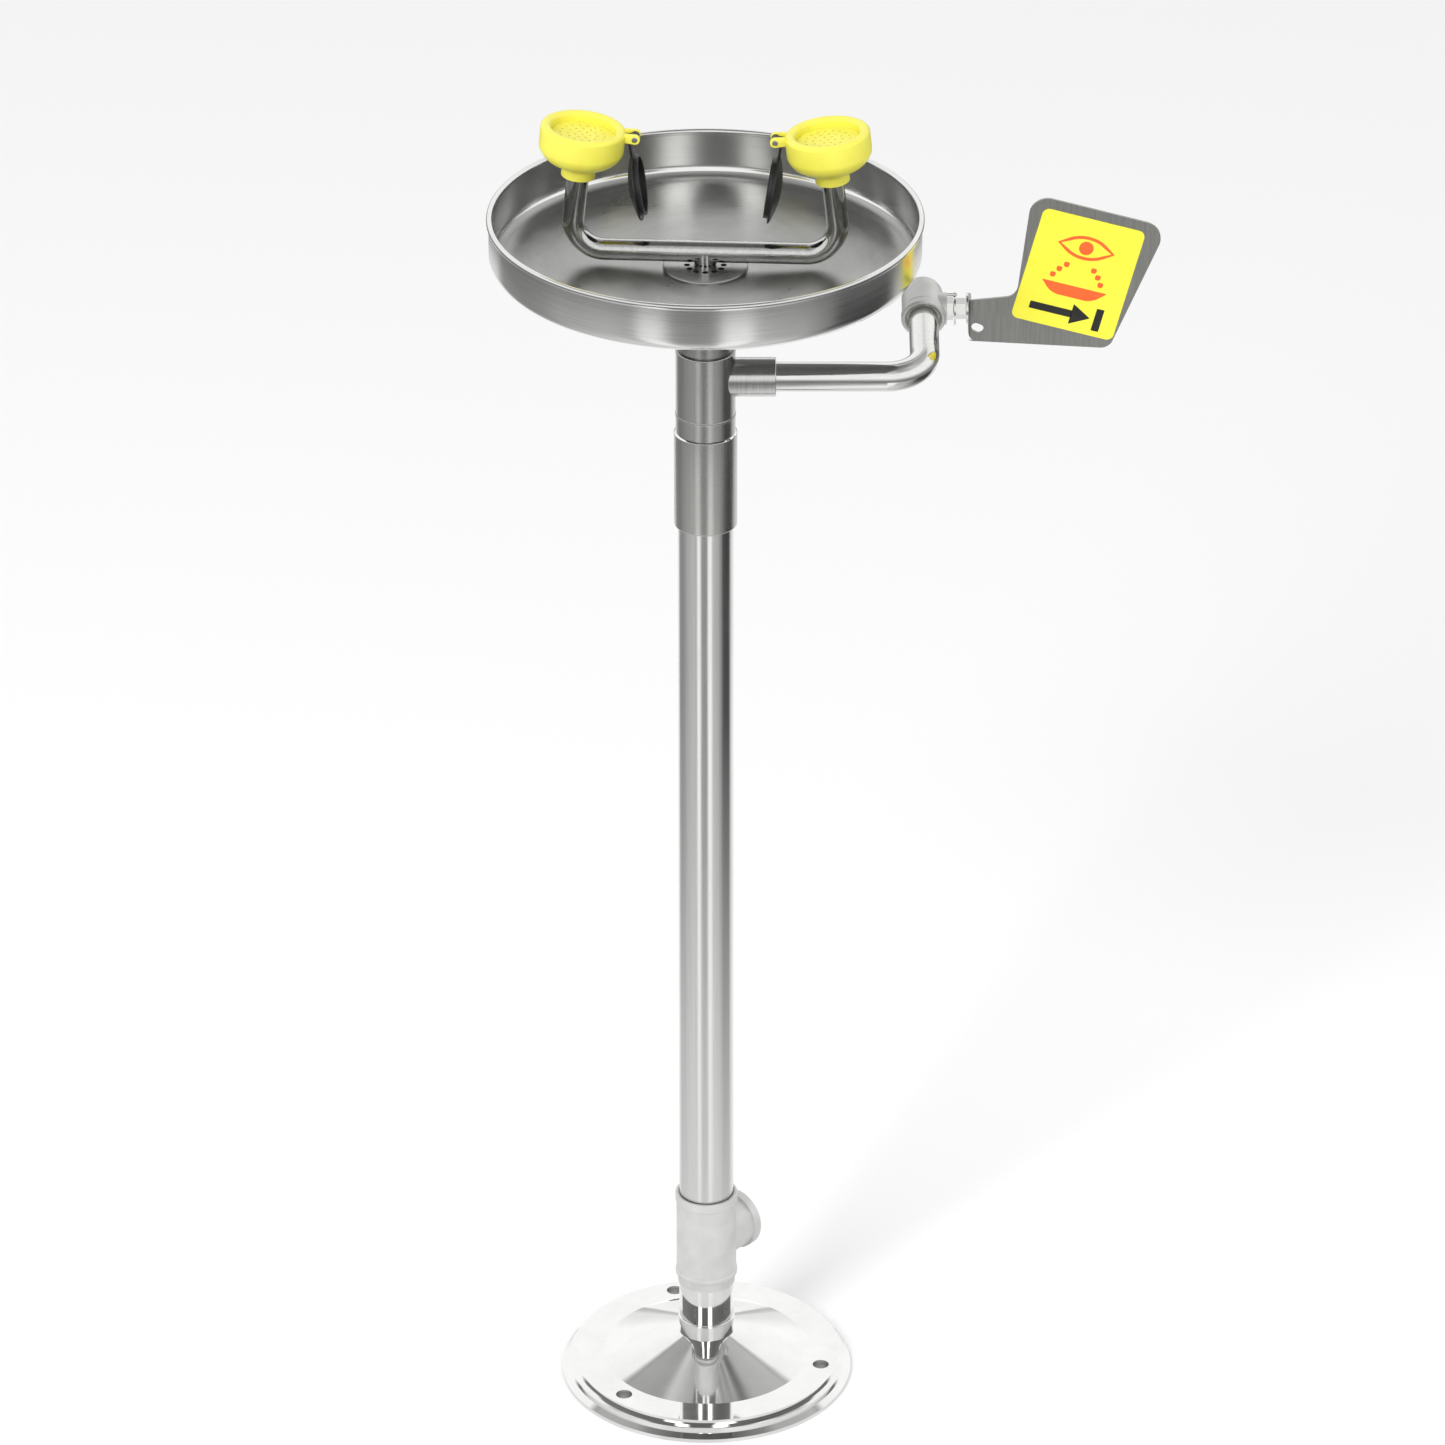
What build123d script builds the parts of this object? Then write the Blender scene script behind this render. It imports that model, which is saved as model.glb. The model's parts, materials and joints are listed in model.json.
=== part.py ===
from build123d import *
import os
from math import atan2, cos, degrees, radians, sin, tan

# Pedestal emergency eyewash station. Millimetres, +Z up.
# The origin is on the pole's axis, at floor level. The user stands on the -Y side.
os.makedirs("parts", exist_ok=True)

# ---- driving dimensions ----
fit_gap = 0.05             # running fit, radial
slip_gap = 0.1             # pieces of one body that slip into each other
sheet_gap = 0.4            # between a moving piece and a fixed one

# foot
anchor_pcd = 176.0
anchor_hole_r = 6.0
anchor_count = 3
anchor_first_angle = -14.0
anchor_edge = 11.4         # hole circle to the edge of the flat ring
base_sheet = 1.5
base_top_z = 14.25
base_top_r = anchor_pcd / 2 + anchor_edge
base_step_r = base_top_r + 3.8
base_r = base_step_r + 4.8
cone_foot_r = anchor_pcd / 2 - 11.25
cone_top_z = base_top_z + 19.75
flange_r = base_top_r - base_sheet - 0.9
flange_t = 6.0
flange_boss_z = base_top_z + 7.75
spacer_r = anchor_edge - base_sheet - slip_gap

# pole and stub
pole_r = 20.0
pole_wall = 1.5
pole_length = 613.0
stub_r = pole_r + 0.3
stub_wall = 2.0
stub_foot_z = 3.0
flange_boss_r = stub_r + 6.7
collar_r = stub_r + 0.8
collar_height = 13.0

# drain tee
tee_z = 76.4
tee_height = 76.1
tee_top_z = tee_z + tee_height
tee_r = pole_r + 2.25
tee_bead_r = tee_r + 0.75
tee_top_bead = 6.9
tee_low_bead = 3.1
tee_lip_r = stub_r + 0.9
tee_lip = 7.2
tee_bore_r = pole_r - 2.0
tee_socket = 22.0
drain_z = tee_z + 37.6
drain_turn = 50.0          # branch direction, degrees from +X towards +Y
drain_thread_r = 19.5      # 1 1/4 inch pipe thread, minor radius
drain_thread_length = 14.0
drain_bore_r = drain_thread_r - 2.5
drain_ring_r = drain_thread_r + 3.2
drain_ring = 7.0
drain_reach = tee_r + 14.75
blank_t = 2.0

# sleeve and neck, stacked on the pole
sleeve_wall = 2.5
sleeve_low = 39.5
sleeve_high = 34.0
sleeve_r = pole_r + sleeve_wall
sleeve_shoulder_z = tee_top_z - tee_socket + pole_length
sleeve_z = sleeve_shoulder_z - sleeve_low
sleeve_top_z = sleeve_shoulder_z + sleeve_high
neck_r = pole_r + 1.2
neck_wall = 1.8
neck_gasket_t = 3.0
neck_weld_z = sleeve_top_z + 13.5
neck_weld_r = 0.35
neck_top_z = neck_weld_z + 50.0

# water supply
supply_z = neck_weld_z + 28.0
arm_r = 10.65              # 1/2 inch pipe
arm_wall = 2.0
arm_reach = 155.0
arm_bend_r = 27.0
arm_rise = 10.0            # the rear leg climbs this many degrees towards the back
arm_to_valve = 70.7        # corner of the arm to the valve's mouth
riser_r = 8.0
riser_wall = 1.4
riser_bend_r = 12.0
riser_seat_x = neck_r + 5.8
arm_start_x = riser_seat_x + 3.0
socket_r = arm_r + 3.35
socket_end_x = arm_start_x + 19.7
coupling_r = riser_r + 2.5
coupling_length = 20.0

# bowl
bowl_r = 151.6
bowl_wall = 1.2
bowl_bead_r = 2.1
bowl_depth = 35.8          # rim above the edge of the floor
bowl_fall = 4.4            # floor falls this much from its edge to the outlet
bowl_corner_r = 10.0
outlet_gap = 62.6          # neck's top to the outlet's seat
outlet_seat_z = neck_top_z + outlet_gap
bowl_floor_z = outlet_seat_z + bowl_fall
bowl_rim_z = bowl_floor_z + bowl_depth
outlet_r = neck_r - neck_wall - slip_gap
outlet_wall = 1.6
outlet_foot_z = neck_top_z - 7.0
outlet_flange_r = outlet_r + 10.7
outlet_flange_t = 2.0
outlet_ledge = 0.6
drain_hole_r = outlet_r + 0.7
washer_t = 2.0
lock_nut_r = outlet_r + 9.7
lock_nut_t = 9.0
strainer_t = 1.4
strainer_hole_r = 2.2
strainer_holes = 12
strainer_circle_r = (riser_r + outlet_r - outlet_wall) / 2
riser_top_z = outlet_seat_z - 13.6

# yoke and spray heads
yoke_turn = 3.2            # the yoke stands turned about the pole, right head forwards
yoke_r = 7.75
yoke_wall = 1.2
yoke_run_z = outlet_seat_z + 12.4
yoke_bend_r = 22.0
head_lean = 6.5            # heads lean towards each other
head_foot_x = 88.9
head_foot_z = yoke_run_z + 55.6
cup_r = 30.0
cup_height = 37.8
cup_wall_foot = 19.4
cup_collar_r = yoke_r + 4.25
cup_collar = 6.0
cup_flare_r = cup_collar_r + 4.5
cup_flare = 10.0
cup_lip_round = 3.2
mouth_r = 22.5
spray_plate_t = 2.0
spray_plate_depth = 6.3    # plate's top face below the rim
spray_hole_r = 0.9
spray_rings = 3
spray_pitch = 5.2
insert_r = mouth_r - 2.1
regulator_t = 2.0
filter_t = 2.6
cup_socket = 12.0
seal_t = 1.5
seal_bore_r = 5.5

# dust caps and their hinges
hinge_reach = cup_r + 6.3  # cup axis to pin
hinge_drop = 3.1           # pin below the rim
ear_r = 3.7
ear_t = 2.6
pin_r = 1.5
knuckle_r = 3.0
knuckle_w = 6.2
cap_r = mouth_r + 2.5
cap_edge = 1.2
cap_dome = 6.5
cap_shell = 1.7
plug_r = mouth_r - 0.9
plug_wall = 2.0
plug_depth = 3.2
cap_arm_t = 1.7

# valve, measured along the flow from its mouth
valve_mouth_r = arm_r + 1.35
valve_mouth = 3.2
valve_ring_r = 15.8
valve_ring = 6.5
valve_body_r = 15.2
valve_body_end = 27.0
valve_end = 37.0
valve_end_r = 14.2
valve_pipe_stop = 5.2
ball_at = 14.0
ball_r = 8.0
ball_bore_r = 4.3
seat_t = 2.5
seat_bore_r = 5.2
chamber_r = 8.65
spigot_r = 11.0
inlet_thread_r = 9.3       # 1/2 inch pipe thread, minor radius
inlet_thread_length = 12.0
valve_flow_r = 5.5
end_seal_r = 0.7

# stem stack, measured along +X from the flow axis
stem_r = 3.6
stem_end_r = 3.0
boss_r = 11.5
boss_x = 16.8
packing_r = 6.2
packing_x = 10.6
packing_t = 3.0
gland_flats = 14.4
gland_x = 21.4
tang_t = 2.9
tang_x = 5.4
stop_washer_r = 12.3
stop_washer_x = 21.8
stop_washer_t = 1.4
stop_pin_r = 1.2
stop_pin_circle_r = 9.9
stop_pin_end_x = 24.2
jam_nut_flats = 13.0
jam_nut_length = 7.4
handle_washer_r = 11.0
handle_washer_t = 1.4
handle_nut_flats = 10.0
handle_nut_length = 5.0
stem_end = 1.5             # thread standing out of the last nut
handle_swing = 90.0

# paddle, heights measured from the stem's axis
paddle_t = 2.0
paddle_front = 15.2        # front face ahead of the stem axis
paddle_lean = 15.0
paddle_taper = 7.9
paddle_top_w = 99.6
paddle_top_x = 91.9        # middle of the top edge, from the fold
paddle_top_z = 82.6
arm_top_z = 13.0
arm_root_z = 16.5
arm_low_z = -18.3
arm_tip_z = -24.1
fold_r = 3.2
paddle_head_r = 13.0       # rounds the two top corners
paddle_foot_r = 9.0        # rounds the low right corner and the arm's root
lug_r = 11.0
label_w = 75.0
label_h = 87.5
label_t = 0.4
label_corner = 5.0
label_x = 77.3             # label's centre, from the fold
label_z = 33.6
fold_slot_length = 9.0
fold_slot_w = 6.4
fold_corner_r = 6.0        # rounds the fold's lower corner

# ---- foot: floor flange, pressed cover, spacers, stub and collar ----
with BuildPart() as floor_flange:
    with BuildSketch():
        Circle(flange_r)
        with PolarLocations(anchor_pcd / 2, anchor_count, anchor_first_angle):
            Circle(anchor_hole_r, mode=Mode.SUBTRACT)
    extrude(amount=flange_t)
    with BuildSketch(Plane.XY.offset(flange_t)):
        Circle(flange_boss_r)
    extrude(amount=flange_boss_z - flange_t)
    chamfer(floor_flange.edges().filter_by(GeomType.CIRCLE).group_by(Axis.Z)[-1], 1.0)
    with BuildSketch(Plane.XY.offset(stub_foot_z)):
        Circle(stub_r)
    extrude(amount=flange_boss_z, mode=Mode.SUBTRACT)
floor_flange.part.label = "floor_flange"
export_step(floor_flange.part, "parts/floor_flange.step")

cover_hole_r = stub_r + slip_gap
step_z = base_top_z * 0.66
brim_z = base_top_z * 0.2
with BuildPart() as base_cover:
    with BuildSketch(Plane.XZ):
        with BuildLine():
            cover_line = Polyline(
                (cover_hole_r, cone_top_z),
                (cone_foot_r, base_top_z),
                (base_top_r, base_top_z),
                (base_top_r, step_z + 0.8),
                (base_step_r, step_z),
                (base_step_r, brim_z + 2.4),
                (base_r, brim_z),
                (base_r, 0),
                (base_r - base_sheet, 0),
                (base_r - base_sheet, brim_z - base_sheet * 0.7),
                (base_step_r - base_sheet, brim_z + 0.6),
                (base_step_r - base_sheet, step_z - base_sheet),
                (base_top_r - base_sheet, step_z - base_sheet + 0.8),
                (base_top_r - base_sheet, base_top_z - base_sheet),
                (cone_foot_r, base_top_z - base_sheet),
                (cover_hole_r, cone_top_z - base_sheet),
                close=True,
            )
        make_face()
        convex = [(base_top_r, base_top_z), (base_step_r, step_z), (base_r, brim_z)]
        corners = [v for v in vertices() if any(abs(v.X - x) + abs(v.Z - z) < 0.01 for x, z in convex)]
        fillet(corners, 1.1)
    revolve(axis=Axis.Z)
    with BuildSketch(Plane.XY.offset(base_top_z - 2 * base_sheet)):
        with PolarLocations(anchor_pcd / 2, anchor_count, anchor_first_angle):
            Circle(anchor_hole_r)
    extrude(amount=3 * base_sheet, mode=Mode.SUBTRACT)
base_cover.part.label = "base_cover"
export_step(base_cover.part, "parts/base_cover.step")

with BuildPart() as base_spacers:
    with BuildSketch(Plane.XY.offset(flange_t)):
        with PolarLocations(anchor_pcd / 2, anchor_count, anchor_first_angle):
            Circle(spacer_r)
            Circle(anchor_hole_r, mode=Mode.SUBTRACT)
    extrude(amount=base_top_z - base_sheet - flange_t)
base_spacers.part.label = "base_spacers"
export_step(base_spacers.part, "parts/base_spacers.step")

stub_top_z = tee_z + tee_socket - blank_t
with BuildPart() as stub_pipe:
    with BuildSketch(Plane.XY.offset(stub_foot_z)):
        Circle(stub_r)
        Circle(stub_r - stub_wall, mode=Mode.SUBTRACT)
    extrude(amount=stub_top_z - stub_foot_z)
stub_pipe.part.label = "stub_pipe"
export_step(stub_pipe.part, "parts/stub_pipe.step")

with BuildPart() as stub_blank:
    with BuildSketch(Plane.XY.offset(stub_top_z)):
        Circle(stub_r - slip_gap)
    extrude(amount=blank_t)
stub_blank.part.label = "stub_blank"
export_step(stub_blank.part, "parts/stub_blank.step")

with BuildPart() as base_collar:
    with BuildSketch(Plane.XY.offset(cone_top_z)):
        Circle(collar_r)
        Circle(stub_r, mode=Mode.SUBTRACT)
    extrude(amount=collar_height)
    chamfer(base_collar.edges().group_by(Axis.Z)[-1].sort_by(SortBy.RADIUS)[-1], 0.4)
base_collar.part.label = "base_collar"
export_step(base_collar.part, "parts/base_collar.step")

# ---- drain tee: cast run with two sockets, threaded branch ----
drain_direction = Vector(cos(radians(drain_turn)), sin(radians(drain_turn)), 0)
drain_mouth = Vector(0, 0, drain_z) + drain_direction * drain_reach
drain_plane = Plane(origin=drain_mouth, x_dir=(0, 0, 1), z_dir=-drain_direction)
tee_mid_low_z = tee_z + tee_socket
tee_mid_high_z = tee_top_z - tee_socket
with BuildPart() as drain_tee:
    with BuildSketch(Plane.XZ):
        with BuildLine():
            Polyline(
                (0, tee_z),
                (tee_lip_r, tee_z),
                (tee_lip_r, tee_z + tee_lip),
                (tee_bead_r, tee_z + tee_lip),
                (tee_bead_r, tee_z + tee_lip + tee_low_bead),
                (tee_r, tee_z + tee_lip + tee_low_bead + 0.6),
                (tee_r, tee_top_z - tee_top_bead - 0.6),
                (tee_bead_r, tee_top_z - tee_top_bead),
                (tee_bead_r, tee_top_z),
                (0, tee_top_z),
                close=True,
            )
        make_face()
        rims = [v for v in vertices() if abs(v.X - tee_bead_r) < 0.01]
        fillet(rims, 0.7)
    revolve(axis=Axis.Z)
    with BuildSketch(drain_plane):
        Circle(drain_ring_r - 1.8)
    extrude(amount=drain_reach)
    with BuildSketch(drain_plane):
        Circle(drain_ring_r)
    extrude(amount=drain_ring)
    fillet(drain_tee.faces().sort_by(Axis(drain_mouth, drain_direction))[-1].edges(), 1.0)
    with BuildSketch(drain_plane):
        Circle(drain_thread_r)
    extrude(amount=drain_thread_length, mode=Mode.SUBTRACT)
    with BuildSketch(drain_plane):
        Circle(drain_bore_r)
    extrude(amount=drain_reach, mode=Mode.SUBTRACT)
    with BuildSketch(Plane.XY.offset(tee_mid_low_z)):
        Circle(tee_bore_r)
    extrude(amount=tee_mid_high_z - tee_mid_low_z, mode=Mode.SUBTRACT)
    with BuildSketch(Plane.XY.offset(tee_z)):
        Circle(stub_r)
    extrude(amount=tee_socket, mode=Mode.SUBTRACT)
    with BuildSketch(Plane.XY.offset(tee_mid_high_z)):
        Circle(pole_r)
    extrude(amount=tee_socket, mode=Mode.SUBTRACT)
    with BuildSketch(Plane.XY.offset(tee_top_z - 1.6)):
        Circle(pole_r + 0.9)
    extrude(amount=1.6, mode=Mode.SUBTRACT)
drain_tee.part.label = "drain_tee"
export_step(drain_tee.part, "parts/drain_tee.step")

# ---- pole, sleeve coupling and neck ----
with BuildPart() as pole:
    with BuildSketch(Plane.XY.offset(tee_mid_high_z)):
        Circle(pole_r)
        Circle(pole_r - pole_wall, mode=Mode.SUBTRACT)
    extrude(amount=sleeve_shoulder_z - tee_mid_high_z)
pole.part.label = "pole"
export_step(pole.part, "parts/pole.step")

with BuildPart() as pole_sleeve:
    with BuildSketch(Plane.XY.offset(sleeve_z)):
        Circle(sleeve_r)
    extrude(amount=sleeve_top_z - sleeve_z)
    fillet(pole_sleeve.edges().group_by(Axis.Z)[0], 1.6)
    chamfer(pole_sleeve.edges().group_by(Axis.Z)[-1], 1.0)
    with BuildSketch(Plane.XY.offset(sleeve_z)):
        Circle(pole_r)
    extrude(amount=sleeve_shoulder_z - sleeve_z, mode=Mode.SUBTRACT)
    with BuildSketch(Plane.XY.offset(sleeve_shoulder_z)):
        Circle(neck_r)
    extrude(amount=sleeve_top_z - sleeve_shoulder_z, mode=Mode.SUBTRACT)
pole_sleeve.part.label = "pole_sleeve"
export_step(pole_sleeve.part, "parts/pole_sleeve.step")

with BuildPart() as pole_gasket:
    with BuildSketch(Plane.XY.offset(sleeve_shoulder_z)):
        Circle(neck_r - slip_gap)
        Circle(pole_r - pole_wall, mode=Mode.SUBTRACT)
    extrude(amount=neck_gasket_t)
pole_gasket.part.label = "pole_gasket"
export_step(pole_gasket.part, "parts/pole_gasket.step")

with BuildPart() as neck_spigot:
    with BuildSketch(Plane.XY.offset(sleeve_shoulder_z + neck_gasket_t)):
        Circle(neck_r)
        Circle(neck_r - neck_wall, mode=Mode.SUBTRACT)
    extrude(amount=neck_weld_z - sleeve_shoulder_z - neck_gasket_t)
neck_spigot.part.label = "neck_spigot"
export_step(neck_spigot.part, "parts/neck_spigot.step")

with BuildPart() as neck_weld:
    with BuildSketch(Plane.XZ):
        with Locations((neck_r, neck_weld_z)):
            Ellipse(neck_weld_r, 3 * neck_weld_r)
        with Locations((neck_r - neck_wall, neck_weld_z)):
            Rectangle(2 * neck_wall, 20 * neck_weld_r, mode=Mode.SUBTRACT)
    revolve(axis=Axis.Z)
neck_weld.part.label = "neck_weld"
export_step(neck_weld.part, "parts/neck_weld.step")

side_plane = Plane(origin=(0, 0, supply_z), x_dir=(0, 1, 0), z_dir=(1, 0, 0))
with BuildPart() as neck_tee:
    with BuildSketch(Plane.XY.offset(neck_weld_z)):
        Circle(neck_r)
    extrude(amount=neck_top_z - neck_weld_z)
    fillet(neck_tee.edges().group_by(Axis.Z)[-1], 1.2)
    with BuildSketch(Plane.XY.offset(neck_weld_z)):
        Circle(neck_r - neck_wall)
    extrude(amount=neck_top_z - neck_weld_z, mode=Mode.SUBTRACT)
    with BuildSketch(side_plane):
        Circle(riser_r)
    extrude(amount=2 * neck_r, mode=Mode.SUBTRACT)
neck_tee.part.label = "neck_tee"
export_step(neck_tee.part, "parts/neck_tee.step")

with BuildPart() as side_socket:
    with BuildSketch(side_plane):
        Circle(socket_r)
    extrude(amount=socket_end_x)
    fillet(side_socket.edges().group_by(Axis.X)[-1], 0.8)
    with BuildSketch(Plane.XY.offset(supply_z - 2 * socket_r)):
        Circle(neck_r)
    extrude(amount=4 * socket_r, mode=Mode.SUBTRACT)
    with BuildSketch(side_plane):
        Circle(riser_r)
    extrude(amount=riser_seat_x, mode=Mode.SUBTRACT)
    with BuildSketch(side_plane):
        Circle(riser_r - riser_wall)
    extrude(amount=socket_end_x, mode=Mode.SUBTRACT)
    with BuildSketch(side_plane.offset(arm_start_x)):
        Circle(arm_r)
    extrude(amount=socket_end_x, mode=Mode.SUBTRACT)
side_socket.part.label = "side_socket"
export_step(side_socket.part, "parts/side_socket.step")

# ---- supply: arm pipe in from the valve, riser up through the drain ----
flow = Vector(0, cos(radians(arm_rise)), sin(radians(arm_rise)))
arm_corner = Vector(arm_reach, 0, supply_z)
valve_mouth_at = arm_corner + flow * arm_to_valve
arm_end = valve_mouth_at + flow * valve_pipe_stop
arm_start = Vector(arm_start_x, 0, supply_z)
with BuildPart() as arm_pipe:
    with BuildLine() as arm_route:
        FilletPolyline(arm_start, arm_corner, arm_end, radius=arm_bend_r)
    with BuildSketch(Plane(origin=arm_start, x_dir=(0, 1, 0), z_dir=(1, 0, 0))):
        Circle(arm_r)
        Circle(arm_r - arm_wall, mode=Mode.SUBTRACT)
    sweep(path=arm_route.wire())
arm_pipe.part.label = "arm_pipe"
export_step(arm_pipe.part, "parts/arm_pipe.step")

riser_start = Vector(riser_seat_x, 0, supply_z)
with BuildPart() as supply_riser:
    with BuildLine() as riser_route:
        FilletPolyline(riser_start, (0, 0, supply_z), (0, 0, riser_top_z), radius=riser_bend_r)
    with BuildSketch(Plane(origin=riser_start, x_dir=(0, 1, 0), z_dir=(-1, 0, 0))):
        Circle(riser_r)
        Circle(riser_r - riser_wall, mode=Mode.SUBTRACT)
    sweep(path=riser_route.wire())
supply_riser.part.label = "supply_riser"
export_step(supply_riser.part, "parts/supply_riser.step")

with BuildPart() as riser_coupling:
    with BuildSketch(Plane.XY.offset(riser_top_z - coupling_length / 2)):
        Circle(coupling_r)
        Circle(riser_r, mode=Mode.SUBTRACT)
    extrude(amount=coupling_length)
    chamfer(riser_coupling.edges().group_by(Axis.Z)[-1].sort_by(SortBy.RADIUS)[-1], 0.8)
riser_coupling.part.label = "riser_coupling"
export_step(riser_coupling.part, "parts/riser_coupling.step")

# ---- bowl with its outlet ----
bowl_inner_r = bowl_r - bowl_wall
bead_z = bowl_rim_z - bowl_bead_r
with BuildPart() as bowl:
    with BuildSketch(Plane.XZ):
        with BuildLine():
            Polyline(
                (drain_hole_r, outlet_seat_z),
                (outlet_flange_r + 1, outlet_seat_z),
                (bowl_inner_r, bowl_floor_z),
                (bowl_inner_r, bead_z),
                (bowl_r, bead_z),
                (bowl_r, bowl_floor_z - bowl_wall),
                (outlet_flange_r + 1, outlet_seat_z - bowl_wall),
                (drain_hole_r, outlet_seat_z - bowl_wall),
                close=True,
            )
        make_face()
        inner = [v for v in vertices() if abs(v.X - bowl_inner_r) + abs(v.Z - bowl_floor_z) < 0.01]
        outer = [v for v in vertices() if abs(v.X - bowl_r) + abs(v.Z - bowl_floor_z + bowl_wall) < 0.01]
        fillet(inner, bowl_corner_r - bowl_wall)
        fillet(outer, bowl_corner_r)
        with Locations((bowl_r - bowl_wall / 2, bead_z)):
            Circle(bowl_bead_r)
    revolve(axis=Axis.Z)
bowl.part.label = "bowl"
export_step(bowl.part, "parts/bowl.step")

with BuildPart() as bowl_outlet:
    with BuildSketch(Plane.XY.offset(outlet_seat_z)):
        Circle(outlet_flange_r)
    extrude(amount=outlet_flange_t)
    fillet(bowl_outlet.edges().group_by(Axis.Z)[-1], 1.2)
    with BuildSketch(Plane.XY.offset(outlet_foot_z)):
        Circle(outlet_r)
    extrude(amount=outlet_seat_z - outlet_foot_z)
    with BuildSketch(Plane.XY.offset(outlet_foot_z)):
        Circle(outlet_r - outlet_wall)
    extrude(amount=outlet_seat_z + outlet_flange_t - outlet_foot_z, mode=Mode.SUBTRACT)
    with BuildSketch(Plane.XY.offset(outlet_seat_z + outlet_ledge)):
        Circle(outlet_r)
    extrude(amount=outlet_flange_t, mode=Mode.SUBTRACT)
bowl_outlet.part.label = "bowl_outlet"
export_step(bowl_outlet.part, "parts/bowl_outlet.step")

with BuildPart() as strainer:
    with BuildSketch(Plane.XY.offset(outlet_seat_z + outlet_ledge)):
        Circle(outlet_r - slip_gap)
        Circle(riser_r + slip_gap, mode=Mode.SUBTRACT)
        with PolarLocations(strainer_circle_r, strainer_holes):
            Circle(strainer_hole_r, mode=Mode.SUBTRACT)
    extrude(amount=strainer_t)
strainer.part.label = "strainer"
export_step(strainer.part, "parts/strainer.step")

bowl_under_z = outlet_seat_z - bowl_wall
with BuildPart() as bowl_washer:
    with BuildSketch(Plane.XY.offset(bowl_under_z - washer_t)):
        Circle(lock_nut_r)
        Circle(outlet_r, mode=Mode.SUBTRACT)
    extrude(amount=washer_t)
bowl_washer.part.label = "bowl_washer"
export_step(bowl_washer.part, "parts/bowl_washer.step")

with BuildPart() as bowl_lock_nut:
    with BuildSketch(Plane.XY.offset(bowl_under_z - washer_t - lock_nut_t)):
        RegularPolygon(lock_nut_r, 6)
        Circle(outlet_r, mode=Mode.SUBTRACT)
    extrude(amount=lock_nut_t)
bowl_lock_nut.part.label = "bowl_lock_nut"
export_step(bowl_lock_nut.part, "parts/bowl_lock_nut.step")

# ---- yoke: U pipe that carries both heads ----
yoke_x = Vector(cos(radians(yoke_turn)), -sin(radians(yoke_turn)), 0)
up = Vector(0, 0, 1)
yoke_back = up.cross(yoke_x)
lean = radians(head_lean)
corner_x = head_foot_x + (head_foot_z - yoke_run_z) * tan(lean)
sides = {"left": -1, "right": 1}
head_axes = {side: up * cos(lean) - yoke_x * sign * sin(lean) for side, sign in sides.items()}
head_feet = {side: yoke_x * sign * head_foot_x + up * head_foot_z for side, sign in sides.items()}
yoke_corners = [yoke_x * sign * corner_x + up * yoke_run_z for sign in sides.values()]
yoke_ends = {side: head_feet[side] + head_axes[side] * cup_socket for side in sides}
with BuildPart() as yoke_pipe:
    with BuildLine() as yoke_route:
        FilletPolyline(yoke_ends["left"], *yoke_corners, yoke_ends["right"], radius=yoke_bend_r)
    yoke_start = Plane(origin=yoke_ends["left"], x_dir=yoke_back, z_dir=-head_axes["left"])
    with BuildSketch(yoke_start):
        Circle(yoke_r)
    sweep(path=yoke_route.wire())
    with BuildSketch(Plane.XY.offset(riser_top_z)):
        Circle(riser_r)
    extrude(amount=yoke_run_z - riser_top_z)
    with BuildSketch(yoke_start):
        Circle(yoke_r - yoke_wall)
    sweep(path=yoke_route.wire(), mode=Mode.SUBTRACT)
    with BuildSketch(Plane.XY.offset(riser_top_z)):
        Circle(riser_r - riser_wall)
    extrude(amount=yoke_run_z - riser_top_z, mode=Mode.SUBTRACT)
yoke_pipe.part.label = "yoke_pipe"
export_step(yoke_pipe.part, "parts/yoke_pipe.step")

# ---- spray heads and their dust caps, one set for each eye ----
chamber_foot = cup_socket + seal_t
plate_seat = cup_height - spray_plate_depth - spray_plate_t
insert_seat = plate_seat - filter_t - regulator_t - slip_gap
ear_inner = knuckle_w / 2 + sheet_gap
cap_lift = hinge_drop + sheet_gap

# a cap is drawn lying shut, with its centre over the cup's axis and its knuckle towards +X
dome_rise = cap_dome - cap_edge
dome_sphere_r = (cap_r**2 + dome_rise**2) / (2 * dome_rise)
hollow_r = plug_r - plug_wall
hollow_rise = cap_dome - cap_shell
hollow_sphere_r = (hollow_r**2 + hollow_rise**2) / (2 * hollow_rise)
web_w = 1.4 * knuckle_r
with BuildPart() as dust_cap:
    with BuildSketch(Plane.XZ):
        with BuildLine():
            dome = RadiusArc((0, cap_dome), (cap_r, cap_edge), dome_sphere_r)
            Polyline(
                dome @ 1,
                (cap_r, 0),
                (plug_r, 0),
                (plug_r, -plug_depth),
                (hollow_r, -plug_depth),
                (hollow_r, 0),
            )
            under = RadiusArc((hollow_r, 0), (0, hollow_rise), -hollow_sphere_r)
            Line(under @ 1, dome @ 0)
        make_face()
    revolve(axis=Axis.Z)
    with BuildSketch(Plane.XZ) as arm_section:
        with Locations((hinge_reach, -cap_lift)):
            Circle(knuckle_r)
        with Locations(((cap_r - 2 + hinge_reach + web_w / 2) / 2, cap_arm_t / 2)):
            Rectangle(hinge_reach + 2 + web_w / 2 - cap_r, cap_arm_t)
        with Locations((hinge_reach, (cap_arm_t - cap_lift) / 2)):
            Rectangle(web_w, cap_arm_t + cap_lift)
        with Locations((hinge_reach, -cap_lift)):
            Circle(pin_r + fit_gap, mode=Mode.SUBTRACT)
    extrude(arm_section.sketch, amount=knuckle_w / 2, both=True)
dust_cap.part.label = "dust_cap"

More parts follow.
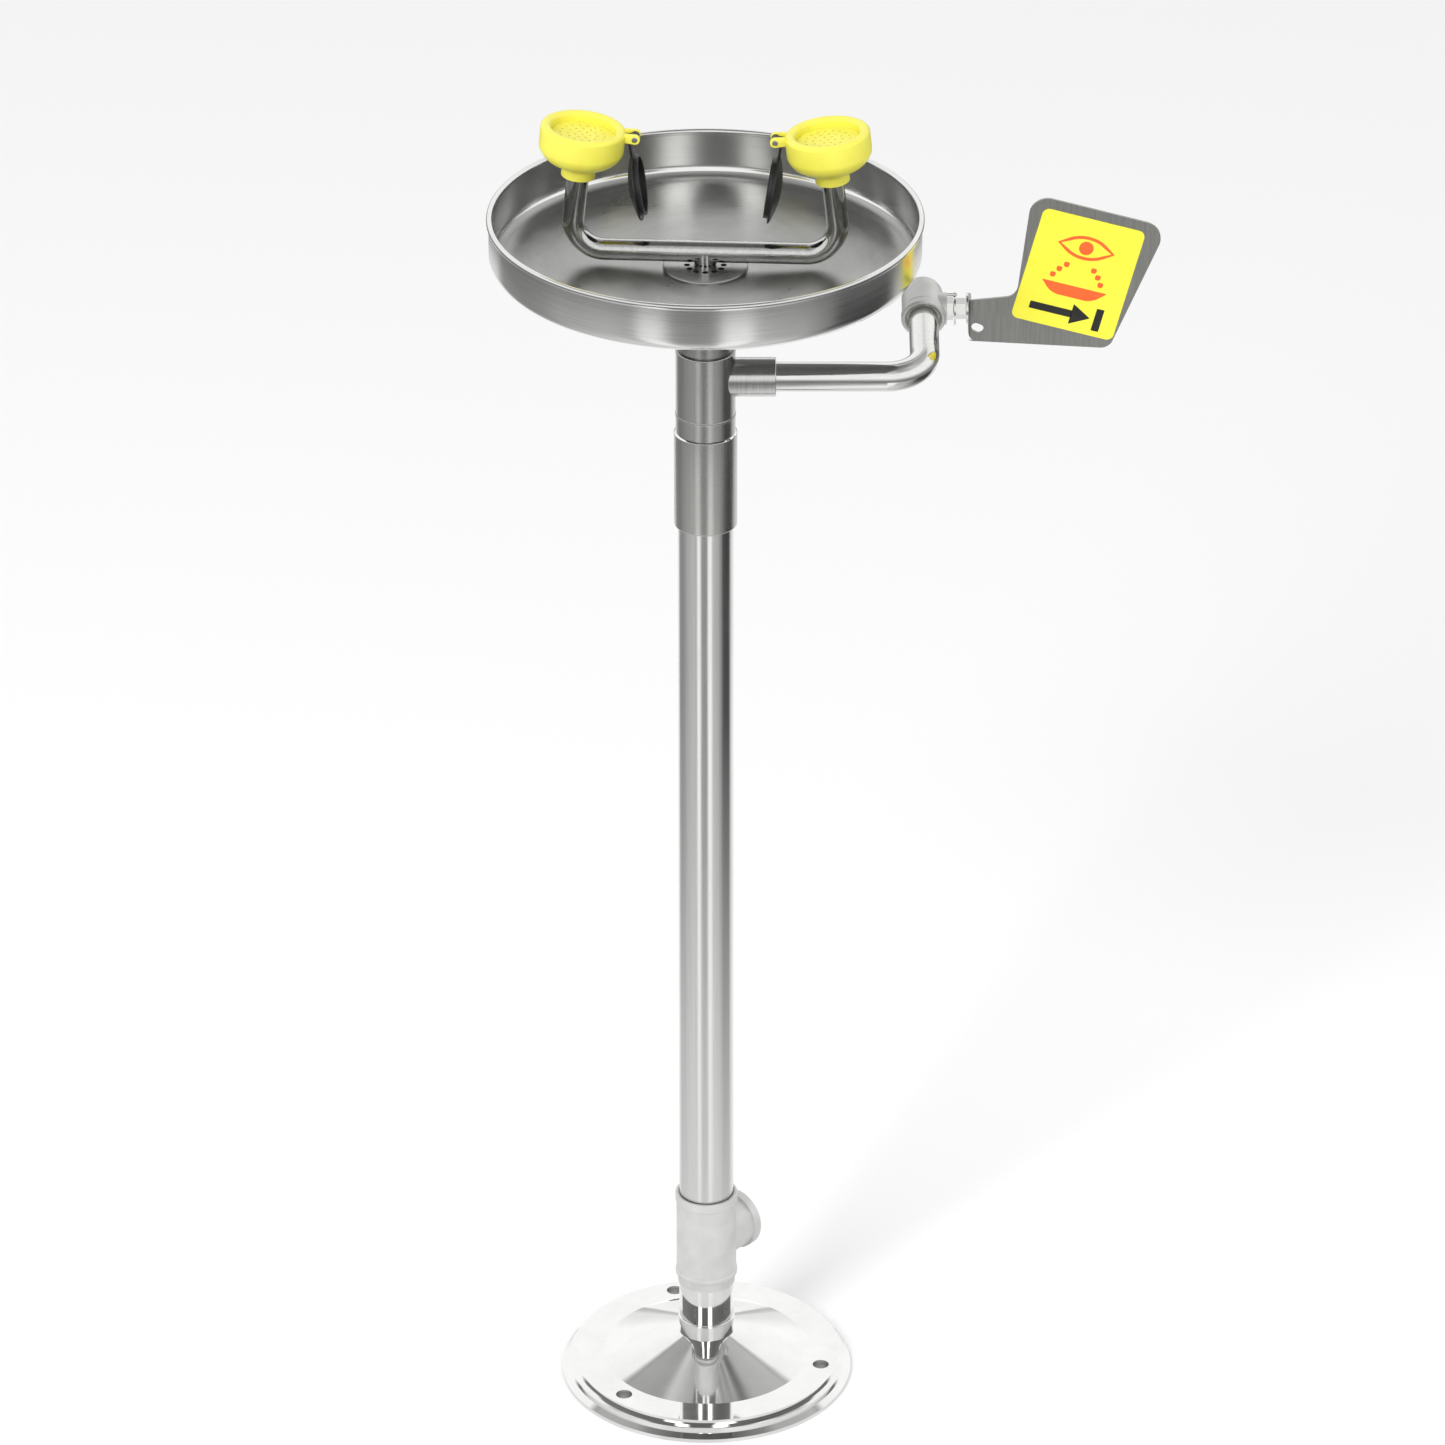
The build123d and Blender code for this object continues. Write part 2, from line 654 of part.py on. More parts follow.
for side, sign in sides.items():
    axis = head_axes[side]
    foot = head_feet[side]
    inward = yoke_x * -sign * cos(lean) - up * sin(lean)
    across = axis.cross(inward)
    level = Plane(origin=foot, x_dir=inward, z_dir=axis)
    section = Plane(origin=foot, x_dir=inward, z_dir=-across)
    rim = foot + axis * cup_height
    pin_at = rim + inward * hinge_reach - axis * hinge_drop
    pin_axis = Axis(pin_at, yoke_back * sign)

    with BuildPart() as cup:
        with BuildSketch(section) as cup_section:
            with BuildLine():
                collar_side = Line((cup_collar_r, 0), (cup_collar_r, cup_collar))
                flare = TangentArc(collar_side @ 1, (cup_flare_r, cup_flare), tangent=(0, 1))
                belly = ThreePointArc(
                    flare @ 1,
                    (cup_r * 0.86, (cup_flare + cup_wall_foot) / 2 + 0.4),
                    (cup_r, cup_wall_foot + 2.0),
                )
                Polyline(
                    belly @ 1,
                    (cup_r, cup_height),
                    (mouth_r, cup_height),
                    (mouth_r, plate_seat),
                    (insert_r, plate_seat),
                    (insert_r, insert_seat),
                    (insert_r - 1.1, insert_seat),
                    (seal_bore_r, chamber_foot + 2.5),
                    (seal_bore_r, chamber_foot),
                    (yoke_r, chamber_foot),
                    (yoke_r, 0),
                    collar_side @ 0,
                )
            make_face()
            lips = [v for v in vertices() if abs(level.to_local_coords(Vector(v)).Z - cup_height) < 0.01]
            fillet(lips, cup_lip_round)
        revolve(axis=Axis(foot, axis))
        for y in (-ear_inner - ear_t, ear_inner):
            ear_plane = Plane(origin=pin_at + across * y, x_dir=inward, z_dir=across)
            with BuildSketch(ear_plane):
                Circle(ear_r)
                with Locations((-(hinge_reach - cup_r + 0.6) / 2, 0)):
                    Rectangle(hinge_reach - cup_r + 0.6, 1.7 * ear_r)
                Circle(pin_r, mode=Mode.SUBTRACT)
            extrude(amount=ear_t)
    cup.part.label = f"{side}_cup"
    export_step(cup.part, f"parts/{side}_cup.step")

    with BuildPart() as spray_plate:
        with BuildSketch(level.offset(plate_seat)):
            Circle(mouth_r - slip_gap)
            Circle(spray_hole_r, mode=Mode.SUBTRACT)
            for ring in range(1, spray_rings + 1):
                with PolarLocations(ring * spray_pitch, 6 * ring):
                    Circle(spray_hole_r, mode=Mode.SUBTRACT)
        extrude(amount=spray_plate_t)
    spray_plate.part.label = f"{side}_spray_plate"
    export_step(spray_plate.part, f"parts/{side}_spray_plate.step")

    with BuildPart() as flow_regulator:
        with BuildSketch(level.offset(insert_seat)):
            Circle(insert_r - slip_gap)
            with PolarLocations(insert_r / 2, 6):
                Circle(2.0, mode=Mode.SUBTRACT)
        extrude(amount=regulator_t)
    flow_regulator.part.label = f"{side}_flow_regulator"
    export_step(flow_regulator.part, f"parts/{side}_flow_regulator.step")

    with BuildPart() as filter_disc:
        with BuildSketch(level.offset(insert_seat + regulator_t)):
            Circle(insert_r - slip_gap)
        extrude(amount=filter_t)
    filter_disc.part.label = f"{side}_filter"
    export_step(filter_disc.part, f"parts/{side}_filter.step")

    with BuildPart() as head_seal:
        with BuildSketch(level.offset(cup_socket)):
            Circle(yoke_r - slip_gap)
            Circle(seal_bore_r, mode=Mode.SUBTRACT)
        extrude(amount=seal_t)
    head_seal.part.label = f"{side}_head_seal"
    export_step(head_seal.part, f"parts/{side}_head_seal.step")

    pin_half = ear_inner + ear_t
    with BuildPart() as hinge_pin:
        with BuildSketch(Plane(origin=pin_at - across * pin_half, x_dir=inward, z_dir=across)):
            Circle(pin_r)
        extrude(amount=2 * pin_half)
        chamfer(hinge_pin.edges().filter_by(GeomType.CIRCLE), 0.3)
    hinge_pin.part.label = f"{side}_hinge_pin"
    export_step(hinge_pin.part, f"parts/{side}_hinge_pin.step")

    # the cap is set shut on the rim, then swung over until it hangs under its pin
    shut_at = pin_at - inward * hinge_reach + axis * cap_lift
    shut_plane = Plane(origin=shut_at, x_dir=inward, z_dir=axis)
    shut_cap = dust_cap.part.moved(shut_plane.location)
    weight_at = shut_cap.center(CenterOf.MASS) - pin_at
    sideways = weight_at.dot(yoke_x * -sign)
    shut_angle = 90 + degrees(atan2(weight_at.dot(up), sideways))
    hanging = shut_cap.rotate(pin_axis, -shut_angle)
    hanging.label = f"{side}_dust_cap"
    export_step(hanging, f"parts/{side}_dust_cap.step")
    print(side, "pin at", pin_at, "axis", pin_axis.direction, "shuts at", round(shut_angle, 2))

# ---- valve: body, end piece, ball, seats and seals ----
flow_section = Plane(origin=valve_mouth_at, x_dir=flow, z_dir=flow.cross(Vector(1, 0, 0)))
flow_axis = Axis(valve_mouth_at, flow)
ball_centre = valve_mouth_at + flow * ball_at
stem_plane = Plane(origin=ball_centre, x_dir=flow, z_dir=(1, 0, 0))
near_seat = ball_at - ball_r + 0.8
far_seat = ball_at + ball_r - 0.8
pin_turn = 45.0
pin_direction = (cos(radians(pin_turn)), sin(radians(pin_turn)))
pin_spot = (stop_pin_circle_r * pin_direction[0], stop_pin_circle_r * pin_direction[1])
with BuildPart() as valve_body:
    with BuildSketch(flow_section):
        with BuildLine():
            Polyline(
                (0, 0),
                (0, valve_ring_r - 1.0),
                (1.0, valve_ring_r),
                (valve_ring - 0.6, valve_ring_r),
                (valve_ring, valve_body_r - 0.5),
                (valve_ring + 1.2, valve_body_r),
                (valve_body_end - 0.5, valve_body_r),
                (valve_body_end, valve_body_r - 0.5),
                (valve_body_end, 0),
                close=True,
            )
        make_face()
    revolve(axis=flow_axis)
    with BuildSketch(stem_plane):
        Circle(boss_r)
    extrude(amount=boss_x)
    with BuildSketch(flow_section):
        with BuildLine():
            Polyline(
                (0, 0),
                (0, valve_mouth_r + 1.4),
                (1.4, valve_mouth_r),
                (valve_mouth, valve_mouth_r),
                (valve_mouth, arm_r),
                (valve_pipe_stop, arm_r),
                (valve_pipe_stop, valve_flow_r),
                (near_seat, valve_flow_r),
                (near_seat, chamber_r),
                (far_seat, chamber_r),
                (far_seat, spigot_r),
                (valve_body_end, spigot_r),
                (valve_body_end, 0),
                close=True,
            )
        make_face()
    revolve(axis=flow_axis, mode=Mode.SUBTRACT)
    with BuildSketch(stem_plane):
        Circle(stem_r + fit_gap)
    extrude(amount=boss_x, mode=Mode.SUBTRACT)
    with BuildSketch(stem_plane.offset(packing_x)):
        Circle(packing_r)
    extrude(amount=boss_x, mode=Mode.SUBTRACT)
    with BuildSketch(stem_plane.offset(boss_x - 2.5)):
        with Locations(pin_spot):
            Circle(stop_pin_r)
    extrude(amount=boss_x, mode=Mode.SUBTRACT)
valve_body.part.label = "valve_body"
export_step(valve_body.part, "parts/valve_body.step")

seal_groove = far_seat + 1.4
with BuildPart() as valve_end_piece:
    with BuildSketch(flow_section):
        with BuildLine():
            Polyline(
                (far_seat, valve_flow_r),
                (far_seat, spigot_r),
                (seal_groove, spigot_r),
                (seal_groove, spigot_r - 2 * end_seal_r),
                (seal_groove + 2.4 * end_seal_r, spigot_r - 2 * end_seal_r),
                (seal_groove + 2.4 * end_seal_r, spigot_r),
                (valve_body_end, spigot_r),
                (valve_body_end, valve_end_r),
                (valve_end - 4.2, valve_end_r - 0.2),
                (valve_end - 1.4, valve_end_r - 1.4),
                (valve_end, valve_end_r - 3.2),
                (valve_end, inlet_thread_r),
                (valve_end - inlet_thread_length, inlet_thread_r),
                (valve_end - inlet_thread_length, valve_flow_r),
                close=True,
            )
        make_face()
    revolve(axis=flow_axis)
valve_end_piece.part.label = "valve_end_piece"
export_step(valve_end_piece.part, "parts/valve_end_piece.step")

with BuildPart() as end_seal:
    with BuildSketch(flow_section):
        with Locations((seal_groove + 1.2 * end_seal_r, spigot_r - end_seal_r)):
            Circle(end_seal_r)
    revolve(axis=flow_axis)
end_seal.part.label = "end_seal"
export_step(end_seal.part, "parts/end_seal.step")

for name, start in (("near_ball_seat", near_seat), ("far_ball_seat", far_seat - seat_t)):
    with BuildPart() as ball_seat:
        with BuildSketch(flow_section):
            with BuildLine():
                Polyline(
                    (start, seat_bore_r),
                    (start, chamber_r),
                    (start + seat_t, chamber_r),
                    (start + seat_t, seat_bore_r),
                    close=True,
                )
            make_face()
            with Locations((ball_at, 0)):
                Circle(ball_r + fit_gap, mode=Mode.SUBTRACT)
        revolve(axis=flow_axis)
    ball_seat.part.label = name
    export_step(ball_seat.part, f"parts/{name}.step")

# at rest the ball's bore stands across the flow, and the valve is shut
bore_direction = Vector(1, 0, 0).cross(flow)
with BuildPart() as valve_ball:
    with BuildSketch(flow_section):
        with Locations((ball_at, 0)):
            Circle(ball_r)
            with Locations((0, -ball_r)):
                Rectangle(2 * ball_r, 2 * ball_r, mode=Mode.SUBTRACT)
    revolve(axis=flow_axis)
    with BuildSketch(Plane(origin=ball_centre, x_dir=(1, 0, 0), z_dir=bore_direction)):
        Circle(ball_bore_r)
    extrude(amount=ball_r, both=True, mode=Mode.SUBTRACT)
    with BuildSketch(stem_plane.offset(tang_x)):
        Rectangle(tang_t + 2 * fit_gap, 4 * ball_r)
    extrude(amount=ball_r, mode=Mode.SUBTRACT)
valve_ball.part.label = "valve_ball"
export_step(valve_ball.part, "parts/valve_ball.step")

jam_nut_x = stop_washer_x + stop_washer_t
handle_washer_x = jam_nut_x + jam_nut_length
lug_x = handle_washer_x + handle_washer_t
handle_nut_x = lug_x + paddle_t
stem_tip_x = handle_nut_x + handle_nut_length + stem_end
with BuildPart() as valve_stem:
    with BuildSketch(stem_plane.offset(tang_x + fit_gap)):
        Circle(stem_r)
        Rectangle(tang_t, 2 * stem_r, mode=Mode.INTERSECT)
    extrude(amount=ball_r - tang_x)
    with BuildSketch(stem_plane.offset(ball_r)):
        Circle(stem_r)
    extrude(amount=jam_nut_x - ball_r)
    with BuildSketch(stem_plane.offset(jam_nut_x)):
        Circle(stem_end_r)
    extrude(amount=stem_tip_x - jam_nut_x)
    chamfer(valve_stem.edges().group_by(Axis.X)[-1], 0.5)
valve_stem.part.label = "valve_stem"
export_step(valve_stem.part, "parts/valve_stem.step")

with BuildPart() as stem_packing:
    with BuildSketch(stem_plane.offset(packing_x)):
        Circle(packing_r)
        Circle(stem_r + fit_gap, mode=Mode.SUBTRACT)
    extrude(amount=packing_t)
stem_packing.part.label = "stem_packing"
export_step(stem_packing.part, "parts/stem_packing.step")

with BuildPart() as gland_nut:
    with BuildSketch(stem_plane.offset(packing_x + packing_t)):
        Circle(packing_r)
    extrude(amount=boss_x - packing_x - packing_t)
    with BuildSketch(stem_plane.offset(boss_x)):
        RegularPolygon(gland_flats / 2, 6, major_radius=False)
    extrude(amount=gland_x - boss_x)
    with BuildSketch(stem_plane):
        Circle(stem_r + fit_gap)
    extrude(amount=gland_x, mode=Mode.SUBTRACT)
gland_nut.part.label = "gland_nut"
export_step(gland_nut.part, "parts/gland_nut.step")

with BuildPart() as stop_pin:
    with BuildSketch(stem_plane.offset(boss_x - 2.5)):
        with Locations(pin_spot):
            Circle(stop_pin_r)
    extrude(amount=stop_pin_end_x - boss_x + 2.5)
stop_pin.part.label = "stop_pin"
export_step(stop_pin.part, "parts/stop_pin.step")

# the washer's notch leaves the pin clear over the whole swing
pin_half_angle = degrees((stop_pin_r + sheet_gap) / stop_pin_circle_r)
notch_span = handle_swing + 2 * pin_half_angle
notch_start = pin_turn - pin_half_angle
notch_floor_r = stop_pin_circle_r - stop_pin_r - sheet_gap
with BuildPart() as stop_washer:
    with BuildSketch(stem_plane.offset(stop_washer_x)):
        Circle(stop_washer_r)
        with BuildLine():
            notch = CenterArc((0, 0), notch_floor_r, notch_start, notch_span)
            far = CenterArc((0, 0), stop_washer_r + 1, notch_start, notch_span)
            Line(notch @ 0, far @ 0)
            Line(notch @ 1, far @ 1)
        make_face(mode=Mode.SUBTRACT)
        Circle(stem_r, mode=Mode.SUBTRACT)
    extrude(amount=stop_washer_t)
stop_washer.part.label = "stop_washer"
export_step(stop_washer.part, "parts/stop_washer.step")

with BuildPart() as jam_nut:
    with BuildSketch(stem_plane.offset(jam_nut_x)):
        RegularPolygon(jam_nut_flats / 2, 6, major_radius=False)
        Circle(stem_end_r, mode=Mode.SUBTRACT)
    extrude(amount=jam_nut_length)
jam_nut.part.label = "jam_nut"
export_step(jam_nut.part, "parts/jam_nut.step")

with BuildPart() as handle_washer:
    with BuildSketch(stem_plane.offset(handle_washer_x)):
        Circle(handle_washer_r)
        Circle(stem_end_r, mode=Mode.SUBTRACT)
    extrude(amount=handle_washer_t)
handle_washer.part.label = "handle_washer"
export_step(handle_washer.part, "parts/handle_washer.step")

with BuildPart() as handle_nut:
    with BuildSketch(stem_plane.offset(handle_nut_x)):
        RegularPolygon(handle_nut_flats / 2, 6, major_radius=False)
        Circle(stem_end_r, mode=Mode.SUBTRACT)
    extrude(amount=handle_nut_length)
handle_nut.part.label = "handle_nut"
export_step(handle_nut.part, "parts/handle_nut.step")

# ---- paddle: one bent sheet, lug on the stem and a leaning face ----
fold_x = ball_centre.X + lug_x
stem_y = ball_centre.Y
stem_z = ball_centre.Z
paddle_face_y = stem_y - paddle_front
paddle_plane = Plane(origin=(fold_x, paddle_face_y, stem_z), x_dir=(1, 0, 0), z_dir=(0, -1, 0))
tilt = radians(paddle_lean)
left_slope = tan(radians(paddle_lean - paddle_taper))
right_slope = tan(radians(paddle_lean + paddle_taper))
half_top = paddle_top_w / 2
top_left = (paddle_top_x - half_top * cos(tilt), paddle_top_z + half_top * sin(tilt))
top_right = (paddle_top_x + half_top * cos(tilt), paddle_top_z - half_top * sin(tilt))
inner_root = (top_left[0] - (top_left[1] - arm_root_z) * left_slope, arm_root_z)
low_right = (top_right[0] - (top_right[1] - arm_tip_z) * right_slope, arm_tip_z)
with BuildPart() as paddle:
    with BuildSketch(paddle_plane):
        with BuildLine():
            Polyline(
                (0, arm_low_z),
                (0, arm_top_z),
                inner_root,
                top_left,
                top_right,
                low_right,
                close=True,
            )
        make_face()
    extrude(amount=-paddle_t)
    with BuildSketch(stem_plane.offset(lug_x)):
        Circle(lug_r)
    extrude(amount=paddle_t)
    lug_face = Plane(origin=(fold_x, stem_y, stem_z), x_dir=(0, 1, 0), z_dir=(1, 0, 0))
    with BuildSketch(lug_face):
        with BuildLine():
            Polyline(
                (-paddle_front, arm_low_z),
                (0, -lug_r),
                (0, lug_r),
                (-paddle_front, arm_top_z),
                close=True,
            )
        make_face()
    extrude(amount=paddle_t)
    upright = paddle.edges().filter_by(Axis.Z)
    fold_edge = [
        e
        for e in upright
        if abs(e.center().X - fold_x) < 0.01 and abs(e.center().Y - paddle_face_y) < 0.01
    ]
    fillet(fold_edge, fold_r)
    crosswise = paddle.edges().filter_by(Axis.Y).filter_by(lambda e: abs(e.length - paddle_t) < 0.01)
    fillet(crosswise.sort_by_distance(paddle_plane.from_local_coords((*top_left, 0)))[0], paddle_head_r)
    crosswise = paddle.edges().filter_by(Axis.Y).filter_by(lambda e: abs(e.length - paddle_t) < 0.01)
    fillet(crosswise.sort_by_distance(paddle_plane.from_local_coords((*top_right, 0)))[0], paddle_head_r)
    crosswise = paddle.edges().filter_by(Axis.Y).filter_by(lambda e: abs(e.length - paddle_t) < 0.01)
    fillet(crosswise.sort_by_distance(paddle_plane.from_local_coords((*low_right, 0)))[0], paddle_foot_r)
    crosswise = paddle.edges().filter_by(Axis.Y).filter_by(lambda e: abs(e.length - paddle_t) < 0.01)
    fillet(crosswise.sort_by_distance(paddle_plane.from_local_coords((*inner_root, 0)))[0], paddle_foot_r)
    with BuildSketch(paddle_plane.offset(1)):
        with Locations((paddle_t + fold_slot_length / 2, arm_low_z * 0.45)):
            SlotOverall(fold_slot_length, fold_slot_w, rotation=-24)
    extrude(amount=-paddle_t - 2, mode=Mode.SUBTRACT)
    # the corner's rounding stops where the lug's sloping lower edge has risen clear of it
    corner_run = paddle_front * fold_corner_r / (-arm_low_z - lug_r)
    with BuildSketch(paddle_plane):
        with Locations((fold_corner_r / 2, arm_low_z + fold_corner_r / 2)):
            Rectangle(fold_corner_r, fold_corner_r)
        with Locations((fold_corner_r, arm_low_z + fold_corner_r)):
            Circle(fold_corner_r, mode=Mode.SUBTRACT)
    extrude(amount=-min(corner_run, paddle_front), mode=Mode.SUBTRACT)
    with BuildSketch(stem_plane.offset(lug_x)):
        Circle(stem_end_r)
    extrude(amount=paddle_t, mode=Mode.SUBTRACT)
paddle.part.label = "paddle"
export_step(paddle.part, "parts/paddle.step")

with BuildPart() as paddle_label:
    with BuildSketch(paddle_plane):
        with Locations(Location((label_x, label_z, 0), (0, 0, -paddle_lean))):
            RectangleRounded(label_w, label_h, label_corner)
    extrude(amount=label_t)
paddle_label.part.label = "paddle_label"
export_step(paddle_label.part, "parts/paddle_label.step")

print("stem at", ball_centre, "valve inlet at", valve_mouth_at + flow * valve_end, "along", flow)
print("drain mouth", drain_mouth, "towards", drain_direction)
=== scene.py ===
import bpy, bmesh, json
from math import cos, hypot, pi, radians, sin
from mathutils import Euler, Matrix, Vector


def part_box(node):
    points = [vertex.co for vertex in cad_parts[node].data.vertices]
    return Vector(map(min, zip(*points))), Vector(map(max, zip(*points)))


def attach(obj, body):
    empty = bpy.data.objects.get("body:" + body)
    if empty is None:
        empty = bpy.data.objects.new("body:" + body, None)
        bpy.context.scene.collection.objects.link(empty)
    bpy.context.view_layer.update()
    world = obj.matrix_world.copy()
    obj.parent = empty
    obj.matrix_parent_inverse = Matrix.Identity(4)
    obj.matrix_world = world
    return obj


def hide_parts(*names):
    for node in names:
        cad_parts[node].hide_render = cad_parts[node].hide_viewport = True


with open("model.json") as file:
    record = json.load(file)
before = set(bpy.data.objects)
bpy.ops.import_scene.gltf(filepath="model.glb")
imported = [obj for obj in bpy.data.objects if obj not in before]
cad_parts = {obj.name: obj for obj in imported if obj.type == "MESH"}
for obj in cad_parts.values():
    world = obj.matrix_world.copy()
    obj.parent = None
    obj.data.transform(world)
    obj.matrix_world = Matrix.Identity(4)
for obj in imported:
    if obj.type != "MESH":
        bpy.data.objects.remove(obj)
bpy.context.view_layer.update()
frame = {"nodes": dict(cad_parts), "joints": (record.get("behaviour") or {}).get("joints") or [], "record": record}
nodes = frame["nodes"]
mm = 0.001

# small helpers


def meshPiece(name, bm, material, body, stands=(), smoothAngle=35):
    # wraps a finished bmesh up as a piece that rides on its body
    mesh = bpy.data.meshes.new(name)
    bm.to_mesh(mesh)
    bm.free()
    piece = bpy.data.objects.new(name, mesh)
    bpy.context.scene.collection.objects.link(piece)
    for each in material if isinstance(material, list) else [material]:
        mesh.materials.append(each)
    for poly in mesh.polygons:
        poly.use_smooth = True
    mesh.set_sharp_from_angle(angle=radians(smoothAngle))
    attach(piece, body)
    if stands:
        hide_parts(*stands)
    return piece


def roundedOutline(bm, points, flat):
    # points: (first, second, rounding) in mm; flat puts the two numbers into space
    verts = [bm.verts.new(flat(first * mm, second * mm)) for first, second, _ in points]
    edges = [bm.edges.new(pair) for pair in zip(verts, verts[1:] + verts[:1])]
    for vert, (_, _, rounding) in zip(verts, points):
        if rounding:
            bmesh.ops.bevel(
                bm, geom=[vert], offset=rounding * mm, offset_type="OFFSET", segments=8,
                profile=0.5, affect="VERTICES", material=-1,
            )
    return edges


def turned(bm, points, segments=160):
    # a closed outline of (radius, height, rounding) spun about +Z
    roundedOutline(bm, points, lambda radius, height: (radius, 0, height))
    bmesh.ops.spin(
        bm, geom=bm.verts[:] + bm.edges[:], axis=(0, 0, 1), cent=(0, 0, 0), angle=2 * pi,
        steps=segments, use_merge=True,
    )
    bmesh.ops.remove_doubles(bm, verts=bm.verts, dist=1e-6)
    bmesh.ops.recalc_face_normals(bm, faces=bm.faces)
    return bm


def cutPlate(bm, points, flat, push):
    # a closed outline filled and pushed out into a plate
    roundedOutline(bm, points, flat)
    face = bmesh.ops.contextual_create(bm, geom=bm.verts[:] + bm.edges[:])["faces"]
    grown = bmesh.ops.extrude_face_region(bm, geom=face)["geom"]
    bmesh.ops.translate(bm, vec=push, verts=[g for g in grown if isinstance(g, bmesh.types.BMVert)])
    bmesh.ops.recalc_face_normals(bm, faces=bm.faces)
    return bm


def setOn(bm, at, along, acrossUp=None):
    # moves a piece made round +Z at the origin onto a place and a direction
    if acrossUp is None:
        turn = Vector((0, 0, 1)).rotation_difference(along).to_matrix().to_4x4()
    else:
        turn = Matrix((acrossUp, along.cross(acrossUp), along)).transposed().to_4x4()
    bmesh.ops.transform(bm, matrix=Matrix.Translation(at) @ turn, verts=bm.verts)
    return bm


def joined(target, source):
    # adds one bmesh to another
    mesh = bpy.data.meshes.new("joining")
    source.to_mesh(mesh)
    source.free()
    target.from_mesh(mesh)
    bpy.data.meshes.remove(mesh)
    return target


# shared effect groups


def newGroup(name, inputs, outputs):
    group = bpy.data.node_groups.new(name, "ShaderNodeTree")
    for label, kind, default in inputs:
        socket = group.interface.new_socket(name=label, in_out="INPUT", socket_type=kind)
        if default is not None:
            socket.default_value = default
    for label, kind in outputs:
        group.interface.new_socket(name=label, in_out="OUTPUT", socket_type=kind)
    return group, group.nodes.new("NodeGroupInput"), group.nodes.new("NodeGroupOutput")


def makeGrain():
    # fine lines drawn out along one direction, as a brush or a polishing belt leaves them
    floatKind, vectorKind = "NodeSocketFloat", "NodeSocketVector"
    group, inside, outside = newGroup(
        "brushGrain",
        [("Vector", vectorKind, None), ("Stretch", vectorKind, (1, 1, 1))],
        [("Lines", floatKind)],
    )
    add, link = group.nodes.new, group.links.new
    scale = add("ShaderNodeVectorMath")
    scale.operation = "MULTIPLY"
    link(inside.outputs["Vector"], scale.inputs[0])
    link(inside.outputs["Stretch"], scale.inputs[1])
    fine = add("ShaderNodeTexNoise")
    fine.inputs["Scale"].default_value = 1.0
    fine.inputs["Detail"].default_value = 4.0
    fine.inputs["Roughness"].default_value = 0.65
    link(scale.outputs[0], fine.inputs["Vector"])
    link(fine.outputs["Fac"], outside.inputs["Lines"])
    return group


def makeSmudge():
    # soft handling marks and dried-water patches
    floatKind, vectorKind = "NodeSocketFloat", "NodeSocketVector"
    group, inside, outside = newGroup(
        "handlingMarks",
        [("Vector", vectorKind, None), ("Scale", floatKind, 14.0), ("Amount", floatKind, 0.1)],
        [("Marks", floatKind)],
    )
    add, link = group.nodes.new, group.links.new
    noise = add("ShaderNodeTexNoise")
    noise.inputs["Detail"].default_value = 5.0
    noise.inputs["Roughness"].default_value = 0.6
    noise.inputs["Distortion"].default_value = 0.8
    link(inside.outputs["Vector"], noise.inputs["Vector"])
    link(inside.outputs["Scale"], noise.inputs["Scale"])
    ramp = add("ShaderNodeMapRange")
    ramp.inputs["From Min"].default_value = 0.42
    ramp.inputs["From Max"].default_value = 0.72
    link(noise.outputs["Fac"], ramp.inputs["Value"])
    times = add("ShaderNodeMath")
    times.operation = "MULTIPLY"
    link(ramp.outputs["Result"], times.inputs[0])
    link(inside.outputs["Amount"], times.inputs[1])
    link(times.outputs[0], outside.inputs["Marks"])
    return group


def makeCast():
    # the small pits and swells of a sand-cast or blasted skin
    floatKind, vectorKind = "NodeSocketFloat", "NodeSocketVector"
    group, inside, outside = newGroup(
        "castSkin",
        [("Vector", vectorKind, None), ("Grain", floatKind, 900.0)],
        [("Height", floatKind), ("Tone", floatKind)],
    )
    add, link = group.nodes.new, group.links.new
    fine = add("ShaderNodeTexNoise")
    fine.inputs["Detail"].default_value = 6.0
    fine.inputs["Roughness"].default_value = 0.7
    link(inside.outputs["Vector"], fine.inputs["Vector"])
    link(inside.outputs["Grain"], fine.inputs["Scale"])
    broad = add("ShaderNodeTexNoise")
    broad.inputs["Scale"].default_value = 60.0
    broad.inputs["Detail"].default_value = 3.0
    link(inside.outputs["Vector"], broad.inputs["Vector"])
    blend = add("ShaderNodeMath")
    blend.operation = "MULTIPLY_ADD"
    blend.inputs[1].default_value = 0.35
    link(broad.outputs["Fac"], blend.inputs[0])
    link(fine.outputs["Fac"], blend.inputs[2])
    link(blend.outputs[0], outside.inputs["Height"])
    link(broad.outputs["Fac"], outside.inputs["Tone"])
    return group


brushGrain, handlingMarks, castSkin = makeGrain(), makeSmudge(), makeCast()


def startMaterial(name):
    material = bpy.data.materials.new(name)
    material.use_nodes = True
    tree = material.node_tree
    shader = tree.nodes["Principled BSDF"]
    place = tree.nodes.new("ShaderNodeTexCoord")
    return material, tree, shader, place


def useGroup(tree, group, place, **values):
    node = tree.nodes.new("ShaderNodeGroup")
    node.node_tree = group
    tree.links.new(place.outputs["Object"], node.inputs["Vector"])
    for label, value in values.items():
        node.inputs[label].default_value = value
    return node


def mapRange(tree, source, low, high):
    node = tree.nodes.new("ShaderNodeMapRange")
    node.inputs["From Min"].default_value = 0.25
    node.inputs["From Max"].default_value = 0.75
    node.inputs["To Min"].default_value = low
    node.inputs["To Max"].default_value = high
    tree.links.new(source, node.inputs["Value"])
    return node.outputs["Result"]


